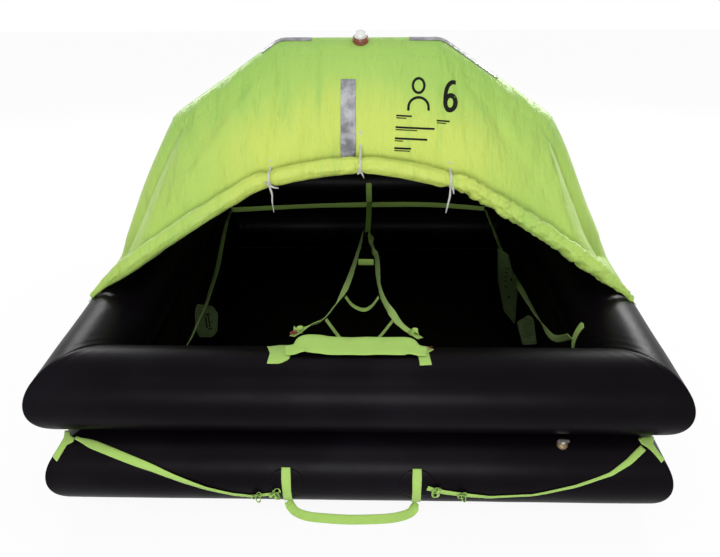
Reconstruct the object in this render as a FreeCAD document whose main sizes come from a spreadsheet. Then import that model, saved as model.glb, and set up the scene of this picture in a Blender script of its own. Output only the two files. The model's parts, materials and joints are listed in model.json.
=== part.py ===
import FreeCAD, Part
import math
import os
import Sketcher
from FreeCAD import Vector

# Six-person inflatable liferaft, canopied, standing inflated on a flat floor.
# Millimetres. +Z is up, the origin is the centre of the floor's underside,
# the door and the boarding ladder face -Y, and left is -X.

doc = FreeCAD.newDocument("inflatable_liferaft")
sheet = doc.addObject("Spreadsheet::Sheet", "Sizes")

SIZES = [
    # buoyancy tubes
    ("tube_radius", 126.5, "radius of both buoyancy tubes"),
    ("ring_half_width", 828.5, "upper ring, plan centre to side tube's centre line"),
    ("ring_half_length", 973, "upper ring, plan centre to end tube's centre line"),
    ("lower_side_step", 22, "lower ring's side tubes stand in by this"),
    ("lower_end_step", 6, "lower ring's end tubes stand out by this"),
    ("bond_gap", 0.2, "cement line between the two rings"),
    ("floor_thickness", 3, "coated fabric floor"),
    ("tape_thickness", 1, "reflective strips and tie tapes"),
    ("patch_thickness", 1.5, "bonded patches and tabs"),
    # arch
    ("arch_y", -200, "plane of the canopy arch"),
    ("arch_tube_radius", 75, "inflated arch tube"),
    ("arch_knee_half_width", 812, "foot of the arch, where the leg leaves the tube"),
    ("arch_knee_rise", 28, "height of that bend above the tube's top"),
    ("arch_shoulder_half_width", 597, "outer bend of the arch"),
    ("arch_shoulder_height", 962, "height of the outer bend's centre line"),
    ("arch_ridge_half_width", 250, "inner bend of the arch"),
    ("arch_ridge_height", 1195, "height of the top run's centre line"),
    # canopy
    ("canopy_thickness", 3, "coated canopy fabric, closed solid"),
    ("canopy_clearance", 2, "between arch tube and canopy"),
    ("hem_angle", 40, "hem line on the tube, degrees above the tube's equator"),
    ("front_slope", 0.408, "front sheet, run forward for each unit of fall"),
    ("hem_corner_y", -583, "front corners of the canopy hem"),
    # rolled door
    ("roll_radius", 34, "door flap rolled up and tied"),
    ("door_edge_top", 895, "height of the door edge at the centre"),
    # webbing
    ("webbing_width", 26, "ladder, lifelines and step"),
    ("webbing_thickness", 2, "all webbing"),
    ("band_width", 68, "wide boarding band on the front tube"),
    ("band_lean", 20, "its rear edge stands up by this many degrees"),
    ("tie_width", 8, "white door ties"),
    # ridge light
    ("light_radius", 27, "base flange of the ridge light"),
    ("light_dome_radius", 22, "lens dome"),
    ("light_tilt", 20, "degrees forward of upright"),
    # inflation system
    ("cylinder_radius", 51, "gas cylinder"),
    ("cylinder_length", 430, "gas cylinder, end to end"),
    ("cylinder_strap_width", 40, "webbing band round the cylinder"),
    ("valve_radius", 17, "valve bodies on the tubes"),
    ("running_gap", 0.05, "radial gap between a turning plug and its body"),
]

sheet.set("A1", "size")
sheet.set("B1", "value")
sheet.set("C1", "what it is")
for row, (alias, value, note) in enumerate(SIZES, start=2):
    sheet.set("A%d" % row, alias)
    sheet.set("B%d" % row, str(value))
    sheet.setAlias("B%d" % row, alias)
    sheet.set("C%d" % row, note)
doc.recompute()


def size(alias):
    return float(sheet.get(alias))


subparts = []


def keep(label, shape):
    """A sub-part whose shape is worked out from the sheet's sizes."""
    feature = doc.addObject("Part::Feature", label)
    feature.Label = label
    feature.Shape = shape
    subparts.append(feature)
    return feature


def keep_object(label, obj):
    obj.Label = label
    subparts.append(obj)
    return obj


# ---------------------------------------------------------------- shared sizes
tube_radius = size("tube_radius")
ring_half_width = size("ring_half_width")
ring_half_length = size("ring_half_length")
lower_half_width = ring_half_width - size("lower_side_step")
lower_half_length = ring_half_length + size("lower_end_step")
# the end tubes touch, one on the other, although one stands a little further out
ring_spacing = math.sqrt((2 * tube_radius + size("bond_gap")) ** 2 - size("lower_end_step") ** 2)
lower_z = tube_radius
upper_z = lower_z + ring_spacing
tube_top = upper_z + tube_radius
patch = size("patch_thickness")
tape = size("tape_thickness")
web_width = size("webbing_width")
web_thickness = size("webbing_thickness")
arch_y = size("arch_y")


# ---------------------------------------------------------------- shape helpers
def between(start, end, share):
    return tuple(a + (b - a) * share for a, b in zip(start, end))


def webbing(stations, width, thickness):
    """A flat strap through stations of centre, width direction, face normal and share of the width."""
    wires = []
    for centre, across, normal, *share in stations:
        half_across = Vector(*across).normalize() * (width / 2.0 * (share[0] if share else 1.0))
        half_normal = Vector(*normal).normalize() * (thickness / 2.0)
        middle = Vector(*centre)
        corners = [middle - half_across - half_normal, middle + half_across - half_normal,
                   middle + half_across + half_normal, middle - half_across + half_normal]
        wires.append(Part.makePolygon(corners + [corners[0]]))
    return Part.makeLoft(wires, True, True)


def strap_between(points, up, width, thickness):
    """A strap through points; its width stays close to the direction up."""
    stations = []
    for index, point in enumerate(points):
        before = Vector(*points[max(index - 1, 0)])
        after = Vector(*points[min(index + 1, len(points) - 1)])
        along = (after - before).normalize()
        normal = along.cross(Vector(*up)).normalize()
        across = normal.cross(along).normalize()
        stations.append((point, tuple(across), tuple(normal)))
    return webbing(stations, width, thickness)


def round_bar(points, radii, sides):
    """A bar of polygon section through points, square to its line at each."""
    wires = []
    for index, point in enumerate(points):
        before = Vector(*points[max(index - 1, 0)])
        after = Vector(*points[min(index + 1, len(points) - 1)])
        along = (after - before).normalize()
        first = along.cross(Vector(0, 0, 1)).normalize()
        second = along.cross(first).normalize()
        corners = []
        for step in range(sides):
            turn = 2 * math.pi * (step + 0.5) / sides
            corners.append(Vector(*point) + first * (radii[index] * math.cos(turn))
                           + second * (radii[index] * math.sin(turn)))
        wires.append(Part.makePolygon(corners + [corners[0]]))
    return Part.makeLoft(wires, True, True)


def end_tube_patch(x_low, x_high, centre_y, centre_z, start, end, thickness=patch, lift=0.0):
    """A patch bonded on an end tube: from start to end degrees, 0 straight up, 90 outward."""
    outward = -1 if centre_y < 0 else 1
    inner = Part.makeCylinder(tube_radius + lift, x_high - x_low, Vector(x_low, centre_y, centre_z),
                              Vector(1, 0, 0))
    outer = Part.makeCylinder(tube_radius + lift + thickness, x_high - x_low,
                              Vector(x_low, centre_y, centre_z), Vector(1, 0, 0))
    wedge_corners = [Vector(x_low - 1, centre_y, centre_z)]
    steps = max(2, int(abs(end - start) / 40) + 2)
    for step in range(steps):
        turn = math.radians(start + (end - start) * step / (steps - 1.0))
        reach = 2 * tube_radius
        wedge_corners.append(Vector(x_low - 1, centre_y + outward * reach * math.sin(turn),
                                    centre_z + reach * math.cos(turn)))
    face = Part.Face(Part.makePolygon(wedge_corners + [wedge_corners[0]]))
    wedge = face.extrude(Vector(x_high - x_low + 2, 0, 0))
    return outer.cut(inner).common(wedge)


def side_tube_patch(y_low, y_high, side, half_width, centre_z, start, end, thickness=patch):
    """A patch bonded on a side tube: 0 degrees straight up, 90 outward, -90 inward."""
    centre_x = side * half_width
    inner = Part.makeCylinder(tube_radius, y_high - y_low, Vector(centre_x, y_low, centre_z), Vector(0, 1, 0))
    outer = Part.makeCylinder(tube_radius + thickness, y_high - y_low,
                              Vector(centre_x, y_low, centre_z), Vector(0, 1, 0))
    corners = [Vector(centre_x, y_low - 1, centre_z)]
    steps = max(2, int(abs(end - start) / 40) + 2)
    for step in range(steps):
        turn = math.radians(start + (end - start) * step / (steps - 1.0))
        reach = 2 * tube_radius
        corners.append(Vector(centre_x + side * reach * math.sin(turn), y_low - 1,
                              centre_z + reach * math.cos(turn)))
    face = Part.Face(Part.makePolygon(corners + [corners[0]]))
    wedge = face.extrude(Vector(0, y_high - y_low + 2, 0))
    return outer.cut(inner).common(wedge)


def on_front_tube(x, degrees, lift, centre_y, centre_z):
    """A point over an end tube's skin at -Y: 0 degrees straight up, 90 forward."""
    turn = math.radians(degrees)
    reach = tube_radius + lift
    return (x, centre_y - reach * math.sin(turn), centre_z + reach * math.cos(turn))


def surface_strap(route, lift, centre_y, centre_z, width, thickness):
    """A strap that lies on the front of an end tube, through (x, degrees) stations."""
    fine = [route[0]]
    for start, end in zip(route, route[1:]):
        fine += [between(start, end, share / 3.0) for share in range(1, 4)]
    route = fine
    points = [on_front_tube(x, degrees, lift, centre_y, centre_z) for x, degrees in route]
    stations = []
    for index, (x, degrees) in enumerate(route):
        before = Vector(*points[max(index - 1, 0)])
        after = Vector(*points[min(index + 1, len(points) - 1)])
        along = (after - before).normalize()
        turn = math.radians(degrees)
        normal = Vector(0, -math.sin(turn), math.cos(turn))
        across = normal.cross(along).normalize()
        stations.append((points[index], tuple(across), tuple(normal)))
    return webbing(stations, width, thickness)


# ---------------------------------------------------------------- buoyancy tubes
def plane_of(body, role):
    return [f for f in body.Origin.OriginFeatures if f.Role == role][0]


def tube_ring(label, half_width, half_length, height):
    """One buoyancy chamber: a round tube led round a rectangle with mitred corners."""
    body = doc.addObject("PartDesign::Body", label)
    path = body.newObject("Sketcher::SketchObject", label + "_path")
    path.AttachmentSupport = [(plane_of(body, "XY_Plane"), "")]
    path.MapMode = "FlatFace"
    path.setExpression("AttachmentOffset.Base.z", height)
    corners = [(0, -900), (800, -900), (800, 900), (-800, 900), (-800, -900)]
    for index, start in enumerate(corners):
        end = corners[(index + 1) % len(corners)]
        path.addGeometry(Part.LineSegment(Vector(start[0], start[1], 0), Vector(end[0], end[1], 0)), False)
    for index in range(5):
        path.addConstraint(Sketcher.Constraint("Coincident", index, 2, (index + 1) % 5, 1))
    for index in (0, 2, 4):
        path.addConstraint(Sketcher.Constraint("Horizontal", index))
    for index in (1, 3):
        path.addConstraint(Sketcher.Constraint("Vertical", index))
    path.addConstraint(Sketcher.Constraint("PointOnObject", 0, 1, -2))
    path.addConstraint(Sketcher.Constraint("Symmetric", 0, 2, 2, 2, -1, 1))
    width = path.addConstraint(Sketcher.Constraint("DistanceX", 2, 2, 2, 1, 1600))
    length = path.addConstraint(Sketcher.Constraint("DistanceY", 1, 1, 1, 2, 1800))
    path.setExpression("Constraints[%d]" % width, "2 * (%s)" % half_width)
    path.setExpression("Constraints[%d]" % length, "2 * (%s)" % half_length)
    section = body.newObject("Sketcher::SketchObject", label + "_section")
    section.AttachmentSupport = [(plane_of(body, "YZ_Plane"), "")]
    section.MapMode = "FlatFace"
    section.addGeometry(Part.Circle(Vector(-900, 300, 0), Vector(0, 0, 1), 120), False)
    radius = section.addConstraint(Sketcher.Constraint("Radius", 0, 120))
    across = section.addConstraint(Sketcher.Constraint("DistanceX", 0, 3, -1, 1, 900))
    up = section.addConstraint(Sketcher.Constraint("DistanceY", -1, 1, 0, 3, 300))
    section.setExpression("Constraints[%d]" % radius, "Sizes.tube_radius")
    section.setExpression("Constraints[%d]" % across, half_length)
    section.setExpression("Constraints[%d]" % up, height)
    doc.recompute()
    pipe = body.newObject("PartDesign::AdditivePipe", label + "_tube")
    pipe.Profile = section
    pipe.Spine = (path, ["Edge%d" % (index + 1) for index in range(5)])
    pipe.Transition = "Right corner"
    pipe.Mode = "Standard"
    doc.recompute()
    return keep_object(label, body)


LOWER_HEIGHT = "Sizes.tube_radius"
UPPER_HEIGHT = "Sizes.tube_radius + sqrt((2 * Sizes.tube_radius + Sizes.bond_gap)^2 - Sizes.lower_end_step^2)"
upper_ring = tube_ring("upper_buoyancy_tube", "Sizes.ring_half_width", "Sizes.ring_half_length", UPPER_HEIGHT)
lower_ring = tube_ring("lower_buoyancy_tube", "Sizes.ring_half_width - Sizes.lower_side_step",
                       "Sizes.ring_half_length + Sizes.lower_end_step", LOWER_HEIGHT)

floor = doc.addObject("Part::Box", "raft_floor")
# the floor's upper edges meet the lower tubes where these curve up from the ground
FLOOR_INSET = "sqrt(2 * Sizes.tube_radius * Sizes.floor_thickness - Sizes.floor_thickness^2)"
FLOOR_HALF_WIDTH = "(Sizes.ring_half_width - Sizes.lower_side_step - %s)" % FLOOR_INSET
FLOOR_HALF_LENGTH = "(Sizes.ring_half_length + Sizes.lower_end_step - %s)" % FLOOR_INSET
floor.setExpression("Length", "2 * " + FLOOR_HALF_WIDTH)
floor.setExpression("Width", "2 * " + FLOOR_HALF_LENGTH)
floor.setExpression("Height", "Sizes.floor_thickness")
floor.setExpression("Placement.Base.x", "-" + FLOOR_HALF_WIDTH)
floor.setExpression("Placement.Base.y", "-" + FLOOR_HALF_LENGTH)
keep_object("raft_floor", floor)


# ---------------------------------------------------------------- arch
def arch_line():
    """Centre line of the arch from the left foot to the right foot, as (x, z)."""
    half = [(size("arch_knee_half_width"), upper_z),
            (size("arch_knee_half_width"), tube_top + size("arch_knee_rise")),
            (size("arch_shoulder_half_width"), size("arch_shoulder_height")),
            (size("arch_ridge_half_width"), size("arch_ridge_height"))]
    return [(-x, z) for x, z in half] + [(x, z) for x, z in reversed(half)]


def inflated_arch():
    """Seven mitred runs of tube; the feet are cut to saddle on the upper side tubes."""
    line = [Vector(x, arch_y, z) for x, z in arch_line()]
    path = Part.makePolygon(line)
    along = (line[1] - line[0]).normalize()
    section = Part.Wire(Part.makeCircle(size("arch_tube_radius"), line[0], along))
    tube = path.makePipeShell([section], True, False, 1)
    return tube.cut(upper_ring.Shape)


arch = keep("canopy_arch", inflated_arch())


# ---------------------------------------------------------------- canopy
canopy_thickness = size("canopy_thickness")
front_slope = size("front_slope")
hem_turn = math.radians(size("hem_angle"))
canopy_offset = size("arch_tube_radius") + size("canopy_clearance") + canopy_thickness


def offset_corner(before, corner, after, distance):
    """Where two runs meet once both are moved outward by the same distance."""
    first = Vector(corner[0] - before[0], 0, corner[1] - before[1]).normalize()
    second = Vector(after[0] - corner[0], 0, after[1] - corner[1]).normalize()
    mitre = Vector(-first.z - second.z, 0, first.x + second.x).normalize()
    stretch = distance / (mitre.x * -first.z + mitre.z * first.x)
    return (corner[0] + mitre.x * stretch, corner[1] + mitre.z * stretch)


def arch_outline(distance):
    """Left half of the arch line moved outward: knee, shoulder, ridge, as (x, z)."""
    foot, knee, shoulder, ridge, far_ridge = arch_line()[:5]
    return [offset_corner(foot, knee, shoulder, distance), offset_corner(knee, shoulder, ridge, distance),
            offset_corner(shoulder, ridge, far_ridge, distance)]


# the cloth goes round the arch in flats that touch it, from front sheet to rear sheet
front_turn = math.atan(1 / front_slope)
rear_turn = math.atan((size("arch_ridge_height") + canopy_offset - tube_top) / (ring_half_length - arch_y))
corner_reach = canopy_offset / math.cos(front_turn / 4)
knee_out, shoulder_out, ridge_out = arch_outline(corner_reach)
ridge_top = ridge_out[1]
front_tangent_y = arch_y - corner_reach * math.sin(front_turn)
front_tangent_z = size("arch_ridge_height") + corner_reach * math.cos(front_turn)
hem_x = ring_half_width + (tube_radius + canopy_thickness) * math.cos(hem_turn)
hem_z = upper_z + (tube_radius + canopy_thickness) * math.sin(hem_turn)
# between the hem and the tube's top the canopy bends once, clear of the tube
wrap_turn = (math.pi / 2 - hem_turn) / 2
wrap_radius = (tube_radius + canopy_thickness + size("canopy_clearance")) / math.cos(wrap_turn / 2)
wrap_out = wrap_radius * math.sin(wrap_turn)
wrap_z = upper_z + wrap_radius * math.cos(wrap_turn)


def mirrored(half):
    """A row of points from its left half, which ends at the centre line."""
    return half + [Vector(-p.x, p.y, p.z) for p in reversed(half[:-1])]


def front_sheet_y(height):
    """The front sheet falls straight from the arch to the front corners."""
    return front_tangent_y - front_slope * (front_tangent_z - height)


# half of the door's upper edge, hem corner to centre: x and drop below the middle
DOOR_EDGE = [(-850, 359), (-740, 284), (-560, 172), (-430, 98), (-300, 41), (0, 0)]


def door_edge():
    top = size("door_edge_top")
    return [Vector(x, front_sheet_y(top - drop), top - drop) for x, drop in DOOR_EDGE]


def over_arch(turn):
    """One row of the canopy over the arch: 0 along its crown, positive towards the rear."""
    y = arch_y + corner_reach * math.sin(turn)
    knee, shoulder, ridge = arch_outline(corner_reach * math.cos(turn))
    outside = [(-hem_x, hem_z), (max(knee[0] - 20, -hem_x + 8), wrap_z), knee, shoulder,
               between(shoulder, ridge, 1 / 3.0), between(shoulder, ridge, 2 / 3.0), ridge, (0, ridge[1])]
    return [Vector(x, y, z) for x, z in outside]


def canopy_rows():
    rear_x = [-hem_x, -ring_half_width - wrap_out, -ring_half_width] + [
        -ring_half_width * share for share in (0.85, 0.7, 0.5, 0.3, 0)]
    rear_top = upper_z + wrap_radius
    rear_hem_y = ring_half_length + hem_x - ring_half_width
    front_corner = [Vector(-hem_x, size("hem_corner_y"), hem_z),
                    Vector(-ring_half_width - wrap_out, front_sheet_y(wrap_z), wrap_z)]
    rows = [front_corner + door_edge()]
    rows += [over_arch(turn) for turn in (-front_turn, -front_turn / 2, 0, rear_turn)]
    rows.append([Vector(rear_x[0], ring_half_length, hem_z), Vector(rear_x[1], ring_half_length, wrap_z)]
                + [Vector(x, ring_half_length, rear_top) for x in rear_x[2:]])
    rows.append([Vector(rear_x[0], ring_half_length + wrap_out, hem_z)]
                + [Vector(x, ring_half_length + wrap_out, wrap_z) for x in rear_x[1:]])
    rows.append([Vector(x, rear_hem_y, hem_z) for x in rear_x])
    return [mirrored(row) for row in rows]


def quilt(rows, thickness):
    """A closed fabric solid under a grid of outer points."""
    last_row, last_column = len(rows) - 1, len(rows[0]) - 1
    inner = []
    for i, row in enumerate(rows):
        inner.append([])
        for j, point in enumerate(row):
            down = rows[min(i + 1, last_row)][j] - rows[max(i - 1, 0)][j]
            across = row[min(j + 1, last_column)] - row[max(j - 1, 0)]
            normal = across.cross(down)
            inner[i].append(point - normal.normalize() * thickness)
    faces = []

    def add(a, b, c, d):
        for corners in ((a, b, c), (a, c, d)):
            faces.append(Part.Face(Part.makePolygon(list(corners) + [corners[0]])))

    for i in range(last_row):
        for j in range(last_column):
            add(rows[i][j], rows[i][j + 1], rows[i + 1][j + 1], rows[i + 1][j])
            add(inner[i][j], inner[i + 1][j], inner[i + 1][j + 1], inner[i][j + 1])
    for i in range(last_row):
        add(rows[i][0], rows[i + 1][0], inner[i + 1][0], inner[i][0])
        add(rows[i + 1][-1], rows[i][-1], inner[i][-1], inner[i + 1][-1])
    for j in range(last_column):
        add(rows[0][j + 1], rows[0][j], inner[0][j], inner[0][j + 1])
        add(rows[-1][j], rows[-1][j + 1], inner[-1][j + 1], inner[-1][j])
    shell = Part.Shell(faces)
    solid = Part.Solid(shell)
    if solid.Volume < 0:
        solid.reverse()
    return solid


canopy_cloth = quilt(canopy_rows(), canopy_thickness).cut(upper_ring.Shape)
canopy = keep("canopy", canopy_cloth)


# ---------------------------------------------------------------- rolled door
roll_radius = size("roll_radius")
front_normal = Vector(0, -1, front_slope).normalize()
roll_lift = front_normal * (roll_radius + 0.3)


def roll_line():
    """Centre line of the rolled flap, which lies outside the front sheet's edge."""
    half = [point + roll_lift for point in door_edge()]
    half[0] = half[0] + Vector(-6, 0, -6)
    return mirrored(half)


def door_roll():
    points = roll_line()
    radii = [roll_radius] * len(points)
    radii[0] = radii[-1] = 0.6 * roll_radius
    return round_bar([tuple(p) for p in points], radii, 12)


roll = keep("door_roll", door_roll())


def roll_centre(x):
    """Point on the roll's centre line at a given x."""
    points = roll_line()
    for start, end in zip(points, points[1:]):
        if start.x <= x <= end.x:
            share = (x - start.x) / (end.x - start.x)
            return start + (end - start) * share
    return points[-1]


tie_width = size("tie_width")


def door_tie(x, top_height, tail_length, tail_drift):
    """A tape sewn to the sheet, led over the front of the roll, its tail hanging."""
    centre = roll_centre(x)
    lean = math.degrees(math.atan2(1, front_slope))
    sheet_y = front_sheet_y(top_height)
    clear = 1.08 * roll_radius + 1.5 + tape
    stations = [((x, sheet_y - 1.2 * tape, top_height + 0.5), (1, 0, 0), tuple(front_normal))]
    for degrees in (40, 75, 110, 145, 172):
        turn = math.radians(degrees - (90 - lean))
        normal = (0, -math.sin(turn), math.cos(turn))
        stations.append(((x, centre.y + clear * normal[1], centre.z + clear * normal[2]), (1, 0, 0), normal))
    if tail_length:
        last = stations[-1][0]
        stations.append(((x + 0.15 * tail_drift, last[1] - 3, last[2] - 14), (1, 0, 0), (0, -1, 0)))
        stations.append(((x + tail_drift, last[1] - 3, last[2] - tail_length), (1, 0, 0), (0, -1, 0)))
    return webbing(stations, tie_width, tape)


keep("door_tie_left", door_tie(-300, 912, 110, 14))
keep("door_tie_middle", door_tie(2, 1000, 0, 0))
keep("door_tie_right", door_tie(300, 905, 110, -12))


# ---------------------------------------------------------------- reflective strips
def on_sheet(x, height, lift):
    return tuple(Vector(x, front_sheet_y(height), height) + front_normal * lift)


front_strip_width = 52
keep("reflective_strip_front", webbing(
    [(on_sheet(-40, 1158, tape / 2 + 0.2), (1, 0, 0), tuple(front_normal)),
     (on_sheet(-40, 912, tape / 2 + 0.2), (1, 0, 0), tuple(front_normal))], front_strip_width, tape))


def ridge_strip(side, slope_share):
    """Strip over the ridge corner, along the arch, on the flat in front of the crown."""
    wires = []
    for place in (lambda row: row[6] + (row[3] - row[6]) * slope_share, lambda row: row[6],
                  lambda row: row[6] + (row[7] - row[6]) * 0.4):
        crown, front = [place(over_arch(turn)) for turn in (0, -front_turn / 2)]
        across = (front - crown).normalize()
        lean = Vector(place(over_arch(0)).x, 0, 0).normalize() if slope_share else Vector(1, 0, 0)
        normal = Vector(lean.x * 0.2, across.z, -across.y).normalize()
        if normal.z < 0:
            normal = normal * -1
        low = crown + across * 2 + normal * 0.5
        corners = [low, low + across * 36, low + across * 36 + normal * tape, low + normal * tape]
        corners = [Vector(-side * p.x, p.y, p.z) for p in corners]
        wires.append(Part.makePolygon(corners + [corners[0]]))
    return Part.makeLoft(wires, True, True)


keep("reflective_strip_left", ridge_strip(-1, 0.16))
keep("reflective_strip_right", ridge_strip(1, 0.5))


# ---------------------------------------------------------------- ridge light
def turned(outline, base, axis):
    """A turned part from (radius, height) points, its height along an axis from a base."""
    points = [Vector(radius, 0, height) for radius, height in outline]
    if outline[0][0] > 0:
        points.insert(0, Vector(0, 0, outline[0][1]))
    if outline[-1][0] > 0:
        points.append(Vector(0, 0, outline[-1][1]))
    face = Part.Face(Part.makePolygon(points + [points[0]]))
    solid = face.revolve(Vector(0, 0, 0), Vector(0, 0, 1), 360)
    solid.Placement = FreeCAD.Placement(Vector(*base), FreeCAD.Rotation(Vector(0, 0, 1), Vector(*axis)))
    return solid


light_radius = size("light_radius")
light_turn = math.radians(size("light_tilt"))
light_axis = (0, -math.sin(light_turn), math.cos(light_turn))
light_seat = math.radians(size("light_tilt"))
light_base = (0, arch_y - canopy_offset * math.sin(light_seat),
              size("arch_ridge_height") + (canopy_offset - 6) * math.cos(light_seat))
base_height = 22
keep("ridge_light_base", turned(
    [(light_radius, 0), (light_radius, 14), (light_radius - 3, base_height)],
    light_base, light_axis).cut(canopy.Shape).cut(arch.Shape).Solids[-1])


def light_dome():
    dome_radius = size("light_dome_radius")
    start = Vector(*light_base) + Vector(*light_axis) * base_height
    outline = [(dome_radius, 0), (dome_radius, 7), (0.72 * dome_radius, 0.78 * dome_radius),
               (0.25 * dome_radius, dome_radius)]
    return turned(outline, tuple(start), light_axis)


keep("ridge_light_dome", light_dome())


# ---------------------------------------------------------------- boarding band and tabs
front_y = -ring_half_length


def boarding_tab(x_low, x_high, tail_low):
    """A broad patch with a narrower tail down the front of the tube."""
    tail = end_tube_patch(tail_low, tail_low + 32, front_y, upper_z, 10, 24)
    return end_tube_patch(x_low, x_high, front_y, upper_z, -36, 11).fuse(tail).removeSplitter()


keep("boarding_tabs", Part.makeCompound([boarding_tab(-262, -190, -262), boarding_tab(180, 252, 200)]))


def boarding_band():
    """Wide webbing between the two tabs: its front edge lies on the tube, its rear edge stands up."""
    lean = math.radians(size("band_lean"))
    across = Vector(0, math.cos(lean), math.sin(lean))
    normal = (0, -math.sin(lean), math.cos(lean))
    seat = on_front_tube(0, 10, patch, front_y, upper_z)
    stations = []
    for x, rise, share in ((-206, 0, 0.5), (-178, 2, 0.6), (-150, 9, 1), (-110, 8, 1), (-72, 2, 1),
                           (0, 2, 1), (110, 3, 1), (150, 2, 1), (178, 2, 0.6), (206, 0, 0.5)):
        edge = Vector(x, seat[1], seat[2] + web_thickness + 0.8 + rise)
        middle = edge + across * (size("band_width") * share / 2)
        stations.append((tuple(middle), tuple(across), normal, share))
    return webbing(stations, size("band_width"), 2 * web_thickness)


keep("boarding_band", boarding_band())

# ---------------------------------------------------------------- boarding ladder
UP = (0, 0, 1)
SIDEWAYS = (1, 0, 0)
clear_half_length = ring_half_length - tube_radius
valley_y = ring_half_length - 0.72 * tube_radius


def over_floor(*stations):
    """Points over the cabin floor: tube radii across, share of the clear half length, tube radii up."""
    return [(x * tube_radius, y * clear_half_length, z * tube_radius) for x, y, z in stations]


def along_side(side, *stations):
    """The same beside a side tube: tube radii in from its centre line, along, up."""
    return [(side * (lower_half_width - gap * tube_radius), y * clear_half_length, z * tube_radius)
            for gap, y, z in stations]


keep("ladder_anchor_tab", end_tube_patch(-7, 23, ring_half_length, upper_z, -138, -78))
head_x = 0.07 * tube_radius
keep("ladder_head_strap", strap_between(
    [(head_x, valley_y - 5, 2.1 * tube_radius), (head_x, valley_y - 8, 2.24 * tube_radius)]
    + over_floor((0.079, 1.004, 2.324), (0.079, 0.910, 2.419), (0.095, 0.638, 2.672), (0.095, 0.3427, 2.913)),
    SIDEWAYS, web_width, web_thickness))
keep("ladder_leg_left", strap_between(over_floor(
    (-0.063, 0.342, 2.913), (-0.206, -0.123, 3.320), (-0.451, -0.608, 3.731), (-0.838, -0.898, 3.976),
    (-1.202, -0.988, 4.079), (-1.549, -1.047, 4.024)), SIDEWAYS, web_width, web_thickness))
keep("ladder_leg_right", strap_between(over_floor(
    (0.174, 0.342, 2.913), (0.308, -0.007, 3.225), (0.427, -0.122, 3.320), (0.561, -0.606, 3.731),
    (0.933, -0.893, 3.968), (1.107, -0.990, 4.087), (1.502, -1.061, 4.040)),
    SIDEWAYS, web_width, web_thickness))
keep("ladder_rung_top", strap_between(over_floor((-0.134, -0.200, 3.383), (0.340, -0.200, 3.383)),
                                      UP, web_width, web_thickness))
keep("ladder_rung_middle", strap_between(over_floor(
    (-0.395, -0.647, 3.715), (-0.190, -0.657, 3.478), (0.095, -0.662, 3.368), (0.316, -0.657, 3.462),
    (0.506, -0.650, 3.715)), (0, 1, 0), web_width, web_thickness))
keep("ladder_rung_bottom", strap_between(over_floor(
    (-0.806, -0.903, 3.960), (-0.490, -0.921, 3.542), (-0.111, -0.933, 3.115), (0.158, -0.933, 3.115),
    (0.553, -0.921, 3.542), (0.885, -0.905, 3.960)), (0, 1, 0), web_width, web_thickness))

# ---------------------------------------------------------------- cabin lifelines
left_end = lower_half_width - 0.75 * tube_radius
right_end = lower_half_width - 1.6 * tube_radius
keep("lifeline_rear", strap_between(
    [(-left_end, valley_y - 4, 1.945 * tube_radius), (-0.45 * left_end, valley_y, 2.103 * tube_radius),
     (0, valley_y, 2.174 * tube_radius), (0.55 * right_end, valley_y, 2.174 * tube_radius),
     (right_end, valley_y - 4, 2.024 * tube_radius)], UP, web_width, web_thickness))
lifeline_left = keep("lifeline_left", strap_between(along_side(
    -1, (0.747, 1.019, 1.944), (0.889, 0.742, 2.067), (1.198, 0.231, 1.853), (1.277, 0.051, 1.853),
    (1.348, -0.177, 1.781), (1.348, -0.332, 1.806), (1.285, -0.539, 1.733), (1.126, -0.709, 2.000),
    (0.842, -1.018, 2.174)), UP, web_width, web_thickness))
keep("lifeline_right", strap_between(along_side(
    1, (1.538, 1.025, 1.976), (1.364, 0.898, 1.621), (1.158, 0.742, 1.186), (1.126, 0.520, 1.162),
    (1.126, 0.230, 1.447), (1.126, -0.266, 1.992), (1.063, -0.532, 2.253), (1.000, -0.662, 2.514),
    (0.905, -0.815, 3.162)), UP, web_width, web_thickness))


def lifeline_tabs():
    """Alike patches on the inner faces of the upper ring that the lifelines are sewn to."""
    half = 0.14 * tube_radius
    tabs = [end_tube_patch(x - half, x + half, ring_half_length, upper_z, -168, -118)
            for x in (-left_end, right_end)]
    front_x = -lower_half_width + 0.84 * tube_radius
    tabs.append(end_tube_patch(front_x - half, front_x + half, front_y, upper_z, -150, -100))
    right_y = -0.83 * clear_half_length
    tabs.append(side_tube_patch(right_y - half, right_y + half, 1, ring_half_width, upper_z, -105, -55))
    return Part.makeCompound([tab.cut(upper_ring.Shape) for tab in tabs])


keep("lifeline_tabs", lifeline_tabs())


def card(corners, facing, thickness):
    """A stiff printed card in the plane through its first corner that faces the given way."""
    normal = Vector(*facing).normalize()
    points = [Vector(*corner) for corner in corners]
    points = [point - normal * (point - points[0]).dot(normal) for point in points]
    return Part.Face(Part.makePolygon(points + [points[0]])).extrude(normal * thickness)


left_card = card(along_side(
    -1, (1.096, -0.196, 1.882), (1.545, -0.162, 1.691), (1.675, -0.158, 1.387), (1.617, -0.179, 0.797),
    (1.464, -0.196, 0.673), (1.093, -0.225, 0.785), (1.02, -0.227, 1.124), (1.02, -0.211, 1.646)),
    (0.5, -0.85, 0.15), patch)
keep("instruction_card_left", left_card.cut(lifeline_left.Shape))
keep("instruction_card_rear", card(along_side(
    1, (1.796, 0.228, 2.625), (1.740, 0.202, 1.486), (1.513, 0.144, 0.472), (1.180, 0.075, 0.196),
    (1.171, 0.090, 1.553), (1.368, 0.136, 2.081), (1.507, 0.169, 2.574)), (-0.8, -0.6, 0.05), patch))
keep("instruction_card_front", card(along_side(
    1, (1.645, -0.315, 1.741), (1.334, -0.337, 2.065), (1.192, -0.351, 1.979), (1.061, -0.376, 1.206),
    (1.437, -0.346, 1.047)), (-0.5, -0.85, 0.1), patch))

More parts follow.
